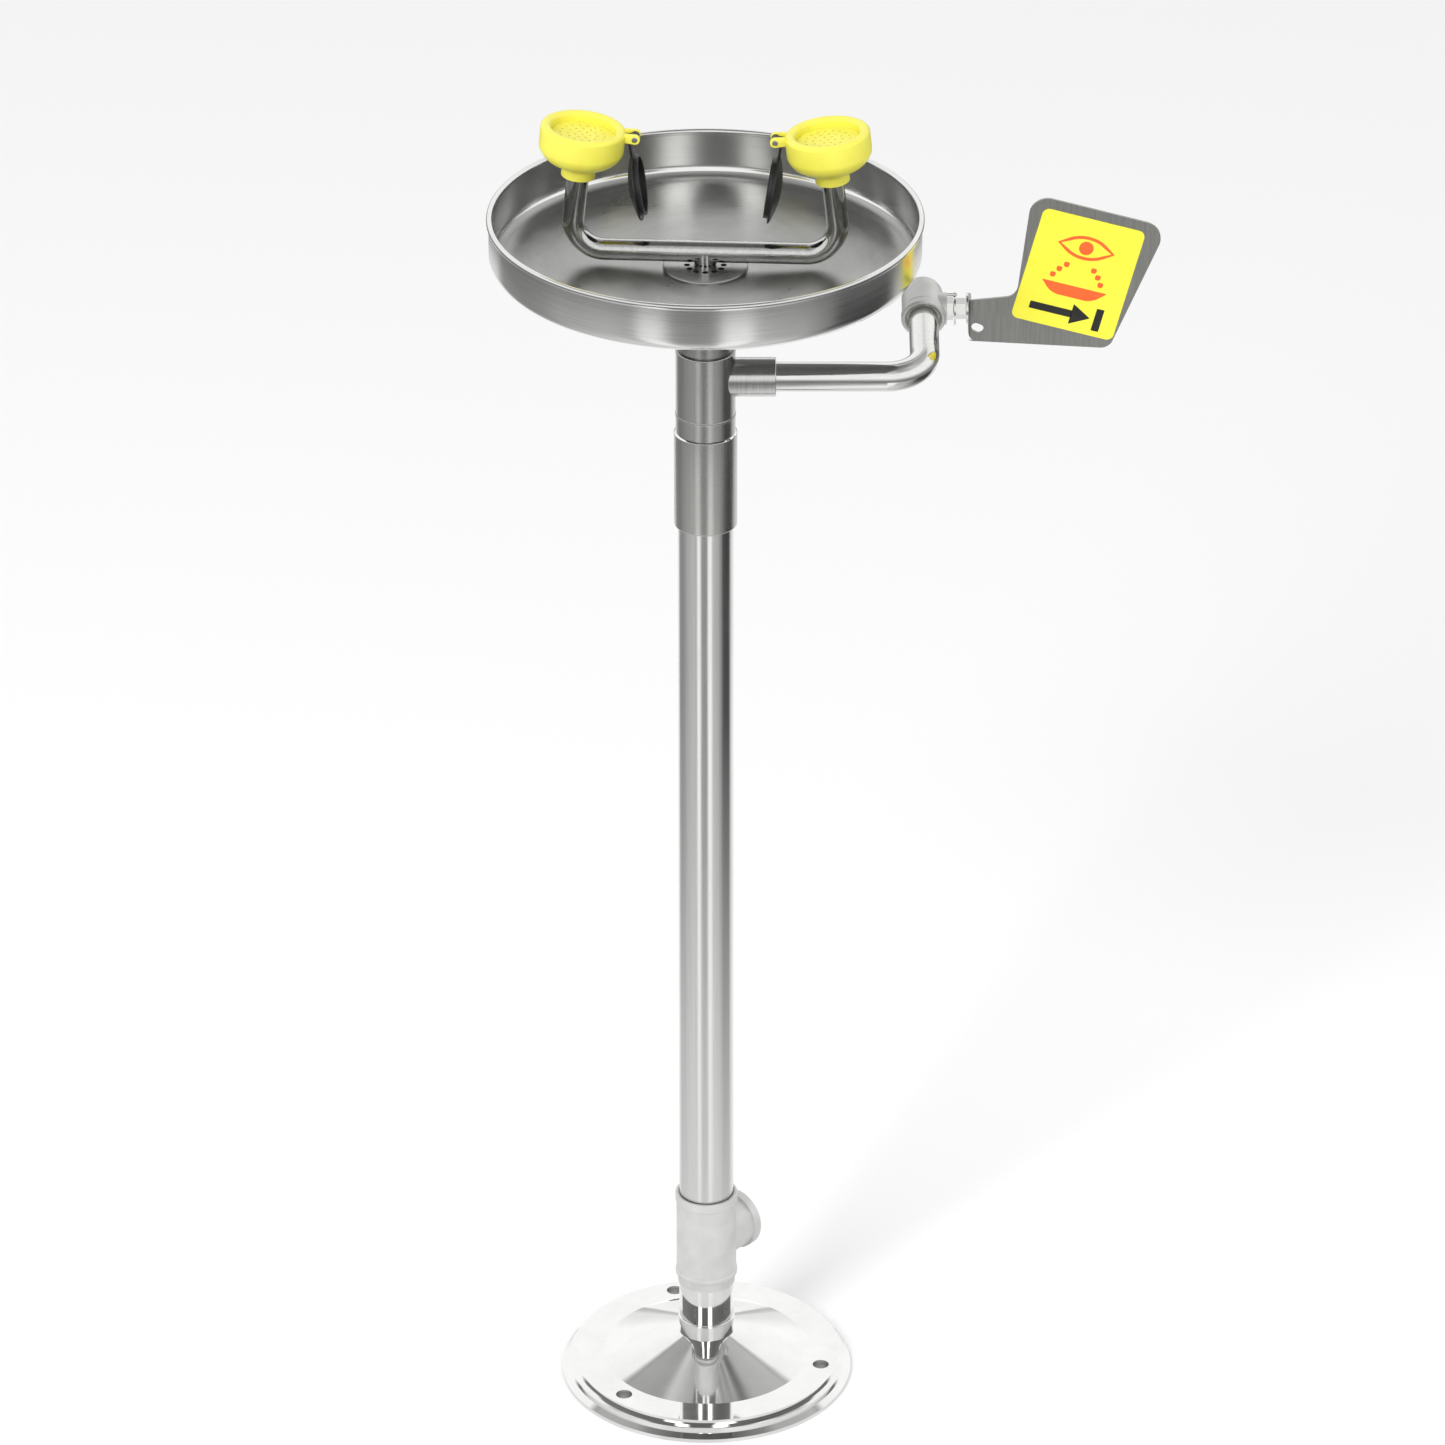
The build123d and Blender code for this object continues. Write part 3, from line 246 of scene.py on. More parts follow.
def toneBetween(tree, source, dark, light):
    node = tree.nodes.new("ShaderNodeMix")
    node.data_type = "RGBA"
    node.inputs["A"].default_value = (*dark, 1)
    node.inputs["B"].default_value = (*light, 1)
    tree.links.new(source, node.inputs["Factor"])
    return node.outputs["Result"]


def bumpFrom(tree, shader, source, strength, distance):
    bump = tree.nodes.new("ShaderNodeBump")
    bump.inputs["Strength"].default_value = strength
    bump.inputs["Distance"].default_value = distance
    tree.links.new(source, bump.inputs["Height"])
    tree.links.new(bump.outputs["Normal"], shader.inputs["Normal"])


def metalMaterial(name, finish):
    # finish: dark and light tone, roughness range, grain stretch and depth, marks
    material, tree, shader, place = startMaterial(name)
    grain = useGroup(tree, brushGrain, place, Stretch=finish["stretch"])
    marks = useGroup(tree, handlingMarks, place, Scale=14.0, Amount=finish["marks"])
    shader.inputs["Metallic"].default_value = 1.0
    tone = toneBetween(tree, mapRange(tree, grain.outputs["Lines"], 0, 1), finish["dark"], finish["light"])
    tree.links.new(tone, shader.inputs["Base Color"])
    rough = mapRange(tree, grain.outputs["Lines"], *finish["roughness"])
    total = tree.nodes.new("ShaderNodeMath")
    total.operation = "ADD"
    tree.links.new(rough, total.inputs[0])
    tree.links.new(marks.outputs["Marks"], total.inputs[1])
    tree.links.new(total.outputs[0], shader.inputs["Roughness"])
    bumpFrom(tree, shader, grain.outputs["Lines"], finish["bump"], 0.00002)
    return material


def castMaterial(name, finish):
    material, tree, shader, place = startMaterial(name)
    skin = useGroup(tree, castSkin, place, Grain=finish["grain"])
    shader.inputs["Metallic"].default_value = finish["metallic"]
    tone = toneBetween(tree, mapRange(tree, skin.outputs["Tone"], 0, 1), finish["dark"], finish["light"])
    tree.links.new(tone, shader.inputs["Base Color"])
    tree.links.new(mapRange(tree, skin.outputs["Height"], *finish["roughness"]), shader.inputs["Roughness"])
    bumpFrom(tree, shader, skin.outputs["Height"], finish["bump"], finish["depth"])
    return material


def plasticMaterial(name, finish):
    material, tree, shader, place = startMaterial(name)
    skin = useGroup(tree, castSkin, place, Grain=finish["grain"])
    marks = useGroup(tree, handlingMarks, place, Scale=30.0, Amount=finish["marks"])
    tone = toneBetween(tree, mapRange(tree, skin.outputs["Tone"], 0, 1), finish["dark"], finish["light"])
    tree.links.new(tone, shader.inputs["Base Color"])
    total = tree.nodes.new("ShaderNodeMath")
    total.operation = "ADD"
    total.inputs[1].default_value = finish["roughness"]
    tree.links.new(marks.outputs["Marks"], total.inputs[0])
    tree.links.new(total.outputs[0], shader.inputs["Roughness"])
    shader.inputs["Coat Weight"].default_value = finish.get("coat", 0.0)
    shader.inputs["Coat Roughness"].default_value = 0.12
    shader.inputs["Subsurface Weight"].default_value = finish.get("soft", 0.0)
    shader.inputs["Subsurface Scale"].default_value = 0.002
    bumpFrom(tree, shader, skin.outputs["Height"], finish["bump"], 0.00004)
    return material


mirrorSteel = metalMaterial("mirrorSteel", {
    "dark": (0.80, 0.80, 0.79), "light": (0.88, 0.88, 0.87), "roughness": (0.03, 0.06),
    "stretch": (40, 40, 40), "marks": 0.04, "bump": 0.04,
})
brightTube = metalMaterial("brightTube", {
    "dark": (0.72, 0.72, 0.71), "light": (0.82, 0.82, 0.81), "roughness": (0.13, 0.22),
    "stretch": (1400, 1400, 12), "marks": 0.05, "bump": 0.12,
})
satinTube = metalMaterial("satinTube", {
    "dark": (0.46, 0.46, 0.45), "light": (0.60, 0.60, 0.59), "roughness": (0.2, 0.32),
    "stretch": (1600, 1600, 16), "marks": 0.06, "bump": 0.2,
})
brushedSteel = metalMaterial("brushedSteel", {
    "dark": (0.48, 0.48, 0.46), "light": (0.66, 0.66, 0.64), "roughness": (0.2, 0.32),
    "stretch": (1800, 1800, 10), "marks": 0.05, "bump": 0.3,
})
bowlOutside = metalMaterial("bowlOutside", {
    "dark": (0.64, 0.64, 0.63), "light": (0.84, 0.84, 0.83), "roughness": (0.15, 0.24),
    "stretch": (14, 14, 2600), "marks": 0.04, "bump": 0.1,
})
# underside: painted shade, a near-black tone on the downward face of a sheet that is otherwise bright steel
bowlUndersidePaintedShade = metalMaterial("bowlUndersidePaintedShade", {
    "dark": (0.16, 0.16, 0.16), "light": (0.24, 0.24, 0.235), "roughness": (0.38, 0.5),
    "stretch": (30, 30, 1600), "marks": 0.1, "bump": 0.2,
})
# inner wall: painted highlight, a lighter tone than the floor and outside of the same sheet to stand in for its
# bright reflections
wallInsidePaintedHighlight = metalMaterial("wallInsidePaintedHighlight", {
    "dark": (0.74, 0.74, 0.73), "light": (0.88, 0.88, 0.87), "roughness": (0.1, 0.18),
    "stretch": (14, 14, 2200), "marks": 0.07, "bump": 0.1,
})
bowlBead = metalMaterial("bowlBead", {
    "dark": (0.70, 0.70, 0.69), "light": (0.80, 0.80, 0.79), "roughness": (0.08, 0.16),
    "stretch": (40, 40, 1600), "marks": 0.04, "bump": 0.05,
})
armTube = metalMaterial("armTube", {
    "dark": (0.70, 0.70, 0.68), "light": (0.82, 0.82, 0.80), "roughness": (0.08, 0.15),
    "stretch": (60, 900, 900), "marks": 0.05, "bump": 0.05,
})
socketSteel = metalMaterial("socketSteel", {
    "dark": (0.56, 0.56, 0.55), "light": (0.70, 0.70, 0.69), "roughness": (0.16, 0.26),
    "stretch": (1500, 50, 50), "marks": 0.05, "bump": 0.16,
})
bowlInside = metalMaterial("bowlInside", {
    "dark": (0.36, 0.36, 0.35), "light": (0.50, 0.50, 0.49), "roughness": (0.24, 0.36),
    "stretch": (22, 22, 1800), "marks": 0.08, "bump": 0.2,
})
yokeSteel = metalMaterial("yokeSteel", {
    "dark": (0.52, 0.52, 0.51), "light": (0.64, 0.64, 0.63), "roughness": (0.07, 0.13),
    "stretch": (300, 300, 300), "marks": 0.06, "bump": 0.08,
})
plainSteel = metalMaterial("plainSteel", {
    "dark": (0.50, 0.50, 0.49), "light": (0.62, 0.62, 0.61), "roughness": (0.28, 0.4),
    "stretch": (700, 700, 700), "marks": 0.08, "bump": 0.15,
})
brightFitting = metalMaterial("brightFitting", {
    "dark": (0.66, 0.66, 0.64), "light": (0.78, 0.78, 0.76), "roughness": (0.12, 0.2),
    "stretch": (1800, 300, 300), "marks": 0.05, "bump": 0.1,
})
paddleSteel = metalMaterial("paddleSteel", {
    "dark": (0.30, 0.30, 0.285), "light": (0.46, 0.46, 0.44), "roughness": (0.26, 0.4),
    "stretch": (900, 900, 40), "marks": 0.08, "bump": 0.3,
})
blastedCasting = castMaterial("blastedCasting", {
    "dark": (0.70, 0.70, 0.69), "light": (0.82, 0.82, 0.81), "roughness": (0.5, 0.66),
    "metallic": 0.7, "grain": 1500.0, "bump": 0.35, "depth": 0.00006,
})
mattCasting = castMaterial("mattCasting", {
    "dark": (0.62, 0.62, 0.60), "light": (0.74, 0.74, 0.72), "roughness": (0.4, 0.54),
    "metallic": 0.7, "grain": 1100.0, "bump": 0.45, "depth": 0.00008,
})
yellowPlastic = plasticMaterial("yellowPlastic", {
    "dark": (0.80, 0.745, 0.085), "light": (0.86, 0.81, 0.105), "roughness": 0.34, "marks": 0.08,
    "grain": 700.0, "bump": 0.08, "soft": 0.08,
})
blackPlastic = plasticMaterial("blackPlastic", {
    "dark": (0.008, 0.008, 0.008), "light": (0.018, 0.018, 0.018), "roughness": 0.36, "marks": 0.2,
    "grain": 900.0, "bump": 0.15,
})
blackRubber = plasticMaterial("blackRubber", {
    "dark": (0.012, 0.012, 0.012), "light": (0.022, 0.022, 0.022), "roughness": 0.7, "marks": 0.1,
    "grain": 1200.0, "bump": 0.2,
})
whitePlastic = plasticMaterial("whitePlastic", {
    "dark": (0.78, 0.78, 0.76), "light": (0.84, 0.84, 0.82), "roughness": 0.42, "marks": 0.08,
    "grain": 700.0, "bump": 0.08,
})
filterFoam = plasticMaterial("filterFoam", {
    "dark": (0.06, 0.06, 0.06), "light": (0.2, 0.2, 0.2), "roughness": 0.85, "marks": 0.1,
    "grain": 1500.0, "bump": 1.0,
})
labelYellow = plasticMaterial("labelYellow", {
    "dark": (0.82, 0.76, 0.03), "light": (0.86, 0.80, 0.042), "roughness": 0.3, "marks": 0.08,
    "grain": 400.0, "bump": 0.03, "coat": 0.25,
})
labelOrange = plasticMaterial("labelOrange", {
    "dark": (0.80, 0.10, 0.012), "light": (0.86, 0.13, 0.016), "roughness": 0.34, "marks": 0.08,
    "grain": 400.0, "bump": 0.03,
})
labelBlack = plasticMaterial("labelBlack", {
    "dark": (0.010, 0.010, 0.010), "light": (0.02, 0.02, 0.018), "roughness": 0.34, "marks": 0.08,
    "grain": 400.0, "bump": 0.03,
})
slotMaterials = {
    "mirror_steel": mirrorSteel, "plain_steel": plainSteel, "bright_tube": brightTube,
    "satin_tube": satinTube, "brushed_steel": brushedSteel, "yoke_steel": yokeSteel,
    "bowl_steel": bowlInside, "blasted_casting": blastedCasting, "matt_casting": mattCasting,
    "bright_fitting": brightFitting, "paddle_steel": paddleSteel, "yellow_plastic": yellowPlastic,
    "black_plastic": blackPlastic, "black_rubber": blackRubber, "white_plastic": whitePlastic,
    "filter_foam": filterFoam, "label_film": labelYellow,
}
for entry in frame["record"]["subparts"]:
    data = nodes[entry["node"]].data
    data.materials.clear()
    data.materials.append(slotMaterials[entry["material_slot"]])
nodes["side_socket"].data.materials[0] = socketSteel
nodes["arm_pipe"].data.materials[0] = armTube
print("materials ready")

# bowl: one dished sheet with a rolled bead
bowl = {
    "holeRadius": 20.0, "seatRadius": 31.0, "radius": 151.6, "wall": 1.2, "corner": 8.8,
    "seatZ": 903.6, "floorZ": 908.0, "bead": 2.1, "rimZ": 943.8, "wallFoot": 4.0, "cornerWidth": 6.0,
}
inside = bowl["radius"] - bowl["wall"]
beadIn, beadOut = inside + bowl["wall"] / 2 - bowl["bead"], inside + bowl["wall"] / 2 + bowl["bead"]
beadFoot = bowl["rimZ"] - 2 * bowl["bead"]
cornerRadius = inside - bowl["cornerWidth"]
bowlMesh = turned(bmesh.new(), [
    (bowl["holeRadius"], bowl["seatZ"], 0.3), (bowl["seatRadius"], bowl["seatZ"], 1.0),
    (inside, bowl["floorZ"], bowl["corner"]), (inside, beadFoot, 0.2),
    (beadIn, beadFoot, 1.2), (beadIn, bowl["rimZ"], 1.9),
    (beadOut, bowl["rimZ"], 1.9), (beadOut, beadFoot, 1.6), (bowl["radius"], beadFoot, 0.3),
    (bowl["radius"], bowl["floorZ"] - bowl["wall"], bowl["corner"] + bowl["wall"]),
    (bowl["seatRadius"], bowl["seatZ"] - bowl["wall"], 1.0),
    (bowl["holeRadius"], bowl["seatZ"] - bowl["wall"], 0.3),
], segments=256)
# zones: 0 floor, 1 outside, 2 bead and lower corner, 3 underside with painted shade, 4 inner wall with a painted
# highlight
for face in bowlMesh.faces:
    middle = face.calc_center_median()
    radius, height = hypot(middle.x, middle.y) / mm, middle.z / mm
    outwards = face.normal.x * middle.x + face.normal.y * middle.y > 0
    if height > beadFoot:
        face.material_index = 2
    # the inner wall takes the painted-highlight tone
    elif not outwards and height > bowl["floorZ"] + bowl["wallFoot"]:
        face.material_index = 4
    # the flat underside takes the painted-shade tone
    elif face.normal.z < -0.9 and radius < cornerRadius:
        face.material_index = 3
    elif face.normal.z < -0.12 and radius > cornerRadius:
        face.material_index = 2
    elif face.normal.z < -0.05 or (outwards and height > bowl["floorZ"] - 2 and radius > inside + 0.5):
        face.material_index = 1
bowlZones = [bowlInside, bowlOutside, bowlBead, bowlUndersidePaintedShade, wallInsidePaintedHighlight]
meshPiece("bowlShell", bowlMesh, bowlZones, "stand", ["bowl"])

# spray heads: a moulded cup with its two hinge ears, and a riveted pin
head = {
    "lean": 6.5, "turn": 3.2, "reach": 36.3, "drop": 3.1, "height": 37.8, "radius": 30.0, "mouth": 22.5,
    "foot": 12.0, "bore": 7.75, "plateSeat": 29.5, "earRadius": 3.7, "earThick": 2.6, "earInner": 3.5,
    "rivetRadius": 1.5, "rivetHead": 2.1, "rivetProud": 0.45,
}
joints = {joint["name"]: joint for joint in frame["joints"]}
yokeAlong = Vector((cos(radians(head["turn"])), -sin(radians(head["turn"])), 0))
for side, sign in (("left", -1), ("right", 1)):
    lean = radians(head["lean"])
    inward = yokeAlong * -sign * cos(lean) - Vector((0, 0, 1)) * sin(lean)
    upward = yokeAlong * -sign * sin(lean) + Vector((0, 0, 1)) * cos(lean)
    pinAt = Vector(joints[side + "_cap_flip"]["pos_m"])
    foot = pinAt - inward * head["reach"] * mm + upward * (head["drop"] - head["height"]) * mm
    cupMesh = turned(bmesh.new(), [
        (head["bore"], 0, 0.4), (head["foot"], 0, 0.7), (head["foot"], 7.6, 2.2), (16.5, 10.0, 0.8),
        (27.4, 13.4, 7.5), (head["radius"] - 0.2, 21.6, 1.2), (head["radius"], head["height"], 3.1),
        (head["mouth"], head["height"], 3.1), (head["mouth"], head["plateSeat"], 0.0),
        (20.4, head["plateSeat"], 0.0), (20.4, 24.8, 0.0), (19.3, 24.8, 0.0),
        (5.5, 16.0, 0.4), (5.5, 13.5, 0.0), (head["bore"], 13.5, 0.0),
    ])
    earFar = head["earInner"] + head["earThick"]
    for start in (-earFar, head["earInner"]):
        rear, tip = head["radius"] - 1.2 - head["reach"], head["earRadius"]
        earMesh = cutPlate(
            bmesh.new(),
            [(rear, -3.2, 0), (tip, -tip, 3.6), (tip, tip, 3.6), (rear, 3.2, 0)],
            lambda first, second: (first, start * mm, second), Vector((0, head["earThick"] * mm, 0)),
        )
        bmesh.ops.bevel(
            earMesh, geom=[edge for edge in earMesh.edges if edge.calc_face_angle(0) > 1.2], offset=0.35 * mm,
            offset_type="OFFSET", segments=2, profile=0.5, affect="EDGES", material=-1,
        )
        bmesh.ops.translate(
            earMesh, verts=earMesh.verts, vec=(head["reach"] * mm, 0, (head["height"] - head["drop"]) * mm),
        )
        joined(cupMesh, earMesh)
    setOn(cupMesh, foot, upward, inward)
    meshPiece(side + "CupShell", cupMesh, yellowPlastic, "stand", [side + "_cup"])
    rivet, shank, crown = earFar + head["rivetProud"], head["rivetRadius"], head["rivetHead"]
    pinMesh = turned(bmesh.new(), [
        (0, -rivet, 0), (crown - 0.2, -rivet, 0.4), (crown, -earFar, 0), (shank, -earFar, 0),
        (shank, earFar, 0), (crown, earFar, 0), (crown - 0.2, rivet, 0.4), (0, rivet, 0),
    ], segments=32)
    setOn(pinMesh, pinAt, upward.cross(inward))
    meshPiece(side + "HingeRivet", pinMesh, plainSteel, "stand", [side + "_hinge_pin"])
print("bowl and spray heads ready")

# sleeve: a brushed coupling with a polished lip
sleeve = {"wall": 2.5, "lip": 1.0, "lower": 1.6, "bore": 20.0, "neckBore": 21.2, "above": 34.0}
low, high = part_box("pole_sleeve")
sleeveLow, sleeveHigh, sleeveRadius = low.z / mm, high.z / mm, (high.x - low.x) / 2 / mm
sleeveMesh = turned(bmesh.new(), [
    (sleeve["bore"], sleeveLow, 0), (sleeveRadius, sleeveLow, sleeve["lower"]),
    (sleeveRadius, sleeveHigh - sleeve["lip"], 0.2), (sleeveRadius - sleeve["lip"], sleeveHigh, 0.2),
    (sleeve["neckBore"], sleeveHigh, 0), (sleeve["neckBore"], sleeveHigh - sleeve["above"], 0),
    (sleeve["bore"], sleeveHigh - sleeve["above"], 0),
], segments=128)
for face in sleeveMesh.faces:
    if face.calc_center_median().z / mm > sleeveHigh - sleeve["lip"]:
        face.material_index = 1
meshPiece("sleeveShell", sleeveMesh, [brushedSteel, mirrorSteel], "stand", ["pole_sleeve"])

# pipe threads: a low ridge wound inside each threaded mouth
threads = {
    "drain_outlet": {
        "piece": "drainOutletThread", "pitch": 2.31, "material": blastedCasting, "slot": "blasted_casting",
    },
    "water_inlet": {
        "piece": "waterInletThread", "pitch": 1.81, "material": mattCasting, "slot": "matt_casting",
    },
}
for mount in frame["record"]["mounts"]:
    if mount["name"] in threads:
        thread, radius, length = threads[mount["name"]], mount["dims"]["r_mm"], mount["dims"]["length_mm"]
        pitch = thread["pitch"]
        threadMesh = bmesh.new()
        roundedOutline(
            threadMesh, [(radius + 0.1, -pitch * 0.4, 0), (radius - 0.6, 0, 0), (radius + 0.1, pitch * 0.4, 0)],
            lambda first, second: (first, 0, second),
        )
        turns = (length - 2 * pitch) / pitch
        bmesh.ops.spin(
            threadMesh, geom=threadMesh.verts[:] + threadMesh.edges[:], axis=(0, 0, 1), cent=(0, 0, 0),
            angle=2 * pi * turns, dvec=(0, 0, pitch * mm / 64), steps=round(64 * turns),
        )
        bmesh.ops.holes_fill(threadMesh, edges=threadMesh.edges[:], sides=3)
        bmesh.ops.recalc_face_normals(threadMesh, faces=threadMesh.faces)
        along = Vector(mount["axis"])
        setOn(threadMesh, Vector(mount["pos_m"]) - along * (length / 2 - pitch) * mm, along)
        meshPiece(thread["piece"], threadMesh, thread["material"], "stand")
print("sleeve and threads ready")

# label print: an eye over two jets and a basin, and a push arrow below, all our own plain shapes
label = {
    "turn": -15.0, "ink": 0.09,
    "eye": [(-21, 21, 0), (0, 36, 17), (21, 21, 0), (0, 6, 17)], "eyeLine": 2.4,
    "pupil": [(-5.2, 15.8, 5.1), (-5.2, 26.2, 5.1), (5.2, 26.2, 5.1), (5.2, 15.8, 5.1)],
    "basin": [(-24, -9.5, 0.8), (24, -9.5, 0.8), (15, -18.5, 5.5), (-15, -18.5, 5.5)],
    "drops": [(-17.5, -4.2), (-14.2, 1.0), (-10.0, 5.4), (17.5, -4.2), (14.2, 1.0), (10.0, 5.4)],
    "dropSize": 2.0,
    "shaft": [(-27, -33.6, 0.5), (-27, -28.0, 0.5), (4, -28.0, 0), (4, -33.6, 0)],
    "point": [(3.5, -38.8, 0.6), (3.5, -22.8, 0.6), (17.5, -30.8, 0.6)],
    "bar": [(20.5, -39.5, 0.6), (20.5, -22.1, 0.6), (26.0, -22.1, 0.6), (26.0, -39.5, 0.6)],
}
low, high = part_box("paddle_label")
labelAt = Vector(((low.x + high.x) / 2, low.y, (low.z + high.z) / 2))
labelTurn = Matrix.Translation(labelAt) @ Matrix.Rotation(radians(-label["turn"]), 4, "Y")
inkPush = Vector((0, -label["ink"] * mm, 0))


def onLabel(first, second):
    return (first, 0, second)


def inkShape(points):
    return cutPlate(bmesh.new(), points, onLabel, inkPush)


eyeMesh = bmesh.new()
roundedOutline(eyeMesh, label["eye"], onLabel)
lid = bmesh.ops.contextual_create(eyeMesh, geom=eyeMesh.verts[:] + eyeMesh.edges[:])["faces"]
rim = bmesh.ops.inset_region(eyeMesh, faces=lid, thickness=label["eyeLine"] * mm, use_boundary=True)["faces"]
middle = [face for face in eyeMesh.faces if face not in rim]
bmesh.ops.delete(eyeMesh, geom=middle, context="FACES")
grown = bmesh.ops.extrude_face_region(eyeMesh, geom=eyeMesh.faces[:])["geom"]
bmesh.ops.translate(eyeMesh, vec=inkPush, verts=[g for g in grown if isinstance(g, bmesh.types.BMVert)])
bmesh.ops.recalc_face_normals(eyeMesh, faces=eyeMesh.faces)
for shape in (label["pupil"], label["basin"]):
    joined(eyeMesh, inkShape(shape))
size = label["dropSize"]
for across, up in label["drops"]:
    joined(eyeMesh, inkShape([
        (across - size, up - size, size * 0.9), (across - size, up + size, size * 0.5),
        (across + size, up + size, size * 0.5), (across + size, up - size, size * 0.9),
    ]))
bmesh.ops.transform(eyeMesh, matrix=labelTurn, verts=eyeMesh.verts)
meshPiece("labelEyeSign", eyeMesh, labelOrange, "paddle_lever")
arrowMesh = inkShape(label["shaft"])
for shape in (label["point"], label["bar"]):
    joined(arrowMesh, inkShape(shape))
bmesh.ops.transform(arrowMesh, matrix=labelTurn, verts=arrowMesh.verts)
meshPiece("labelPushArrow", arrowMesh, labelBlack, "paddle_lever")
print("label ready")

# studio
studio = {
    "cameraAt": (0.01197, -5.2991, 3.3085), "pitch": 62.451, "lens": 206.72,
    "ambient": 0.86,             # even light on matt surfaces
    "tableRadius": 2.15,         # bright table that only gloss sees
    "tableDrop": -0.004,
    # brightness round the table, by degrees from the front towards the valve side
    "tableRound": [
        (-180, 1.5), (-144, 1.4), (-136, 0.5), (-112, 0.42), (-98, 0.48), (-80, 0.7), (-50, 0.85), (-38, 0.7),
        (-33, 1.7), (-24, 1.7), (-17, 0.5), (5, 0.44), (11, 1.7), (22, 1.7), (29, 0.85), (50, 0.75),
        (66, 0.45), (76, 0.1), (112, 0.08), (124, 1.0), (144, 1.4), (180, 1.5),
    ],
    # brightness outwards along the table, by metres
    "tableOut": [(0.0, 0.86), (0.45, 0.84), (0.9, 0.74), (1.35, 0.7), (1.8, 0.74), (2.05, 0.6), (2.15, 0.05)],
    # brightness of the room as gloss sees it, by height of the direction
    "roomUp": [
        (-1.0, 0.2), (-0.2, 0.25), (0.0, 0.55), (0.05, 0.9), (0.25, 1.12), (0.5, 1.1), (0.7, 1.05),
        (0.745, 0.5), (0.76, 0.62), (0.9, 0.55), (0.95, 0.3), (1.0, 0.14),
    ],
    # streaks of the room, by degrees as above; they only show high up
    "roomRound": [
        (-180, 0.75), (-176, 0.35), (-169, 0.3), (-167, 1.3), (-153, 1.25), (-150, 0.7), (-120, 0.8),
        (-80, 1.3), (-30, 0.8), (0, 1.3), (40, 0.8), (80, 1.2), (120, 0.85), (150, 0.9),
        (153.5, 0.3), (155.5, 0.35), (157, 1.1), (160, 0.7), (163, 1.2), (166, 0.75),
        (168.5, 2.0), (171, 0.5), (176, 0.3), (180, 0.75),
    ],
    # what a second reflection meets, by degrees; two tall lamps and dark walls
    "roomSecond": [
        (-180, 1.2), (-130, 1.2), (-118, 0.25), (-60, 0.2), (-36, 0.2), (-31, 2.4), (-23, 2.4), (-17, 0.16),
        (5, 0.16), (10, 2.4), (20, 2.4), (26, 0.2), (60, 0.16), (118, 0.2), (130, 1.2), (180, 1.2),
    ],
}
scene = bpy.context.scene
cameraData = bpy.data.cameras.new("viewCamera")
cameraData.lens = studio["lens"]
cameraData.sensor_width = 36
cameraData.clip_end = 100
camera = bpy.data.objects.new("viewCamera", cameraData)
camera.location = studio["cameraAt"]
camera.rotation_euler = Euler((radians(studio["pitch"]), 0, 0))
scene.collection.objects.link(camera)
scene.camera = camera
scene.view_settings.view_transform = "Standard"


def toneRamp(tree, source, stops, low, high):
    # a grey ramp whose stops are given in the source's own units; a gain of 4 keeps values over 1
    place = tree.nodes.new("ShaderNodeMapRange")
    place.inputs["From Min"].default_value = low
    place.inputs["From Max"].default_value = high
    tree.links.new(source, place.inputs["Value"])
    ramp = tree.nodes.new("ShaderNodeValToRGB")
    ramp.color_ramp.interpolation = "EASE"
    elements = ramp.color_ramp.elements
    for i, (at, tone) in enumerate(stops):
        spot = (at - low) / (high - low)
        element = elements[i] if i < 2 else elements.new(spot)
        element.position = spot
        element.color = (tone / 4, tone / 4, tone / 4, 1)
    tree.links.new(place.outputs["Result"], ramp.inputs["Fac"])
    gain = tree.nodes.new("ShaderNodeMath")
    gain.operation = "MULTIPLY"
    gain.inputs[1].default_value = 4.0
    tree.links.new(ramp.outputs["Color"], gain.inputs[0])
    return gain.outputs[0]


def mathNode(tree, operation, first, second=None):
    node = tree.nodes.new("ShaderNodeMath")
    node.operation = operation
    for socket, value in zip(node.inputs, (first, second)):
        if isinstance(value, (int, float)):
            socket.default_value = value
        elif value is not None:
            tree.links.new(value, socket)
    return node.outputs[0]


def bearing(tree, vector):
    # degrees from -Y towards +X, and the direction's parts
    parts = tree.nodes.new("ShaderNodeSeparateXYZ")
    tree.links.new(vector, parts.inputs[0])
    towardsFront = mathNode(tree, "MULTIPLY", parts.outputs["Y"], -1.0)
    angle = mathNode(tree, "ARCTAN2", parts.outputs["X"], towardsFront)
    return mathNode(tree, "DEGREES", angle), parts


def flatPiece(name, size):
    bm = bmesh.new()
    bmesh.ops.create_circle(bm, cap_ends=True, radius=size, segments=96)
    data = bpy.data.meshes.new(name)
    bm.to_mesh(data)
    bm.free()
    flat = bpy.data.objects.new(name, data)
    scene.collection.objects.link(flat)
    return flat


studioFloor = flatPiece("studioFloor", 30)
floorPaint, _, floorShader, _ = startMaterial("studioFloorPaint")
floorShader.inputs["Base Color"].default_value = (0.93, 0.93, 0.93, 1)
floorShader.inputs["Roughness"].default_value = 0.9
floorShader.inputs["Specular IOR Level"].default_value = 0.0
studioFloor.data.materials.append(floorPaint)
studioFloor.visible_glossy = False

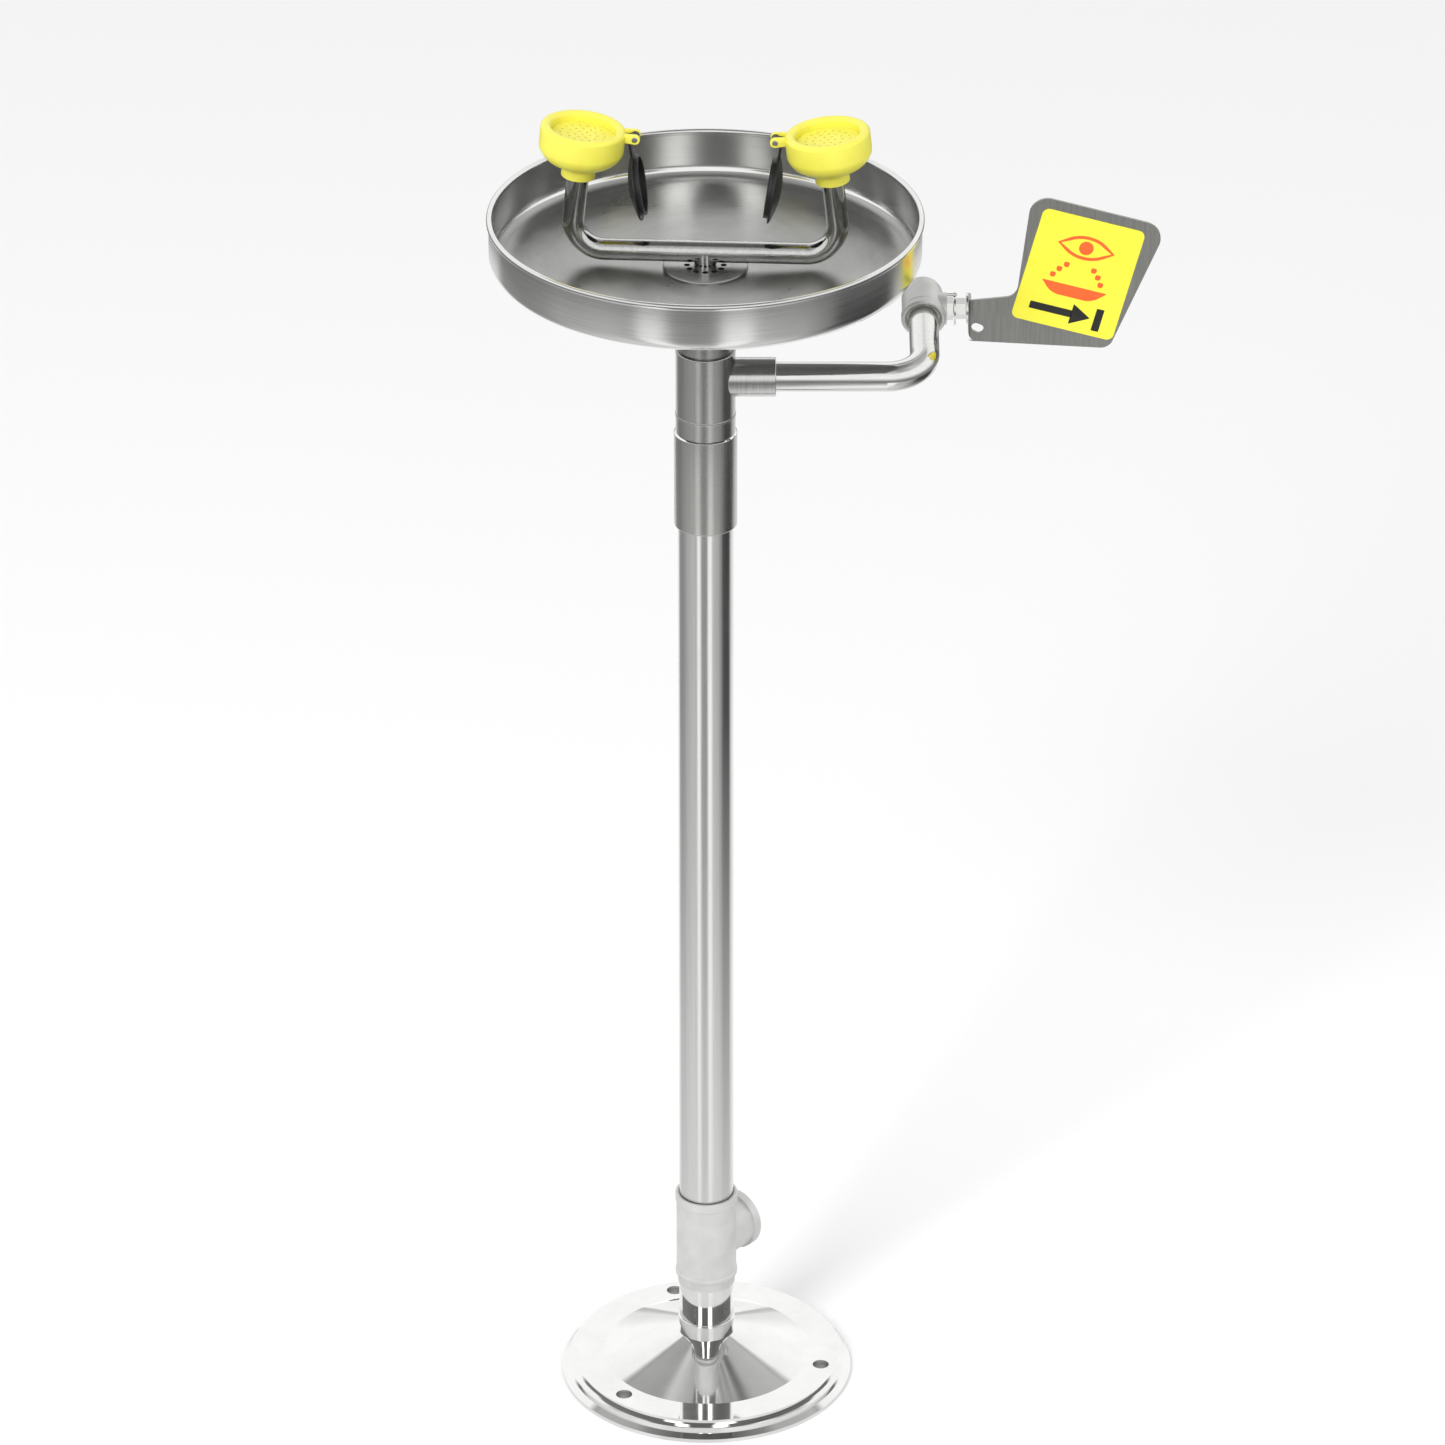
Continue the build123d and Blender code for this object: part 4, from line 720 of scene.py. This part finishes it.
glossTable = flatPiece("glossTable", studio["tableRadius"])
glossTable.location.z = studio["tableDrop"]
for ray in ("camera", "diffuse", "shadow", "transmission", "volume_scatter"):
    setattr(glossTable, "visible_" + ray, False)
tablePaint = bpy.data.materials.new("glossTableLight")
tablePaint.use_nodes = True
tree = tablePaint.node_tree
tree.nodes.clear()
place = tree.nodes.new("ShaderNodeTexCoord")
around, _ = bearing(tree, place.outputs["Object"])
outward = tree.nodes.new("ShaderNodeVectorMath")
outward.operation = "LENGTH"
tree.links.new(place.outputs["Object"], outward.inputs[0])
roundTone = toneRamp(tree, around, studio["tableRound"], -180, 180)
outTone = toneRamp(tree, outward.outputs["Value"], studio["tableOut"], 0, studio["tableRadius"])
reach = mathNode(tree, "MINIMUM", mathNode(tree, "MULTIPLY", outward.outputs["Value"], 0.9), 1.0)
roundShare = mathNode(tree, "MULTIPLY", reach, mathNode(tree, "SUBTRACT", roundTone, 1.0))
faded = mathNode(tree, "ADD", 1.0, roundShare)
glow = tree.nodes.new("ShaderNodeEmission")
tree.links.new(mathNode(tree, "MULTIPLY", faded, outTone), glow.inputs["Strength"])
output = tree.nodes.new("ShaderNodeOutputMaterial")
tree.links.new(glow.outputs[0], output.inputs["Surface"])
glossTable.data.materials.append(tablePaint)

world = bpy.data.worlds.new("studioWorld")
scene.world = world
world.use_nodes = True
tree = world.node_tree
background = tree.nodes["Background"]
background.inputs["Color"].default_value = (1, 1, 1, 1)
place = tree.nodes.new("ShaderNodeTexCoord")
around, parts = bearing(tree, place.outputs["Generated"])
upTone = toneRamp(tree, parts.outputs["Z"], studio["roomUp"], -1, 1)
roundTone = toneRamp(tree, around, studio["roomRound"], -180, 180)
high = tree.nodes.new("ShaderNodeMapRange")
high.inputs["From Min"].default_value = 0.7
high.inputs["From Max"].default_value = 0.76
tree.links.new(parts.outputs["Z"], high.inputs["Value"])
highShare = mathNode(tree, "MULTIPLY", high.outputs["Result"], mathNode(tree, "SUBTRACT", roundTone, 1.0))
streak = mathNode(tree, "ADD", 1.0, highShare)
glossTone = mathNode(tree, "MULTIPLY", upTone, streak)
rays = tree.nodes.new("ShaderNodeLightPath")
secondTone = toneRamp(tree, around, studio["roomSecond"], -180, 180)
again = tree.nodes.new("ShaderNodeMix")
tree.links.new(mathNode(tree, "GREATER_THAN", rays.outputs["Glossy Depth"], 1.5), again.inputs["Factor"])
tree.links.new(glossTone, again.inputs["A"])
tree.links.new(secondTone, again.inputs["B"])
pick = tree.nodes.new("ShaderNodeMix")
tree.links.new(rays.outputs["Is Glossy Ray"], pick.inputs["Factor"])
pick.inputs["A"].default_value = studio["ambient"]
tree.links.new(again.outputs["Result"], pick.inputs["B"])
tree.links.new(pick.outputs["Result"], background.inputs["Strength"])

lights = {
    "keyPanel": {"at": (-1.8, -3.0, 3.2), "size": (1.2, 2.0), "power": 95},
    "fillPanel": {"at": (2.4, -2.6, 2.2), "size": (0.8, 2.2), "power": 16},
}
for name, setup in lights.items():
    lightData = bpy.data.lights.new(name, "AREA")
    lightData.shape = "RECTANGLE"
    lightData.size, lightData.size_y = setup["size"]
    lightData.energy = setup["power"]
    lamp = bpy.data.objects.new(name, lightData)
    lamp.location = setup["at"]
    aim = Vector((0, 0, 0.6)) - lamp.location
    lamp.rotation_euler = aim.to_track_quat("-Z", "Y").to_euler()
    lamp.visible_glossy = False
    scene.collection.objects.link(lamp)
print("studio ready")
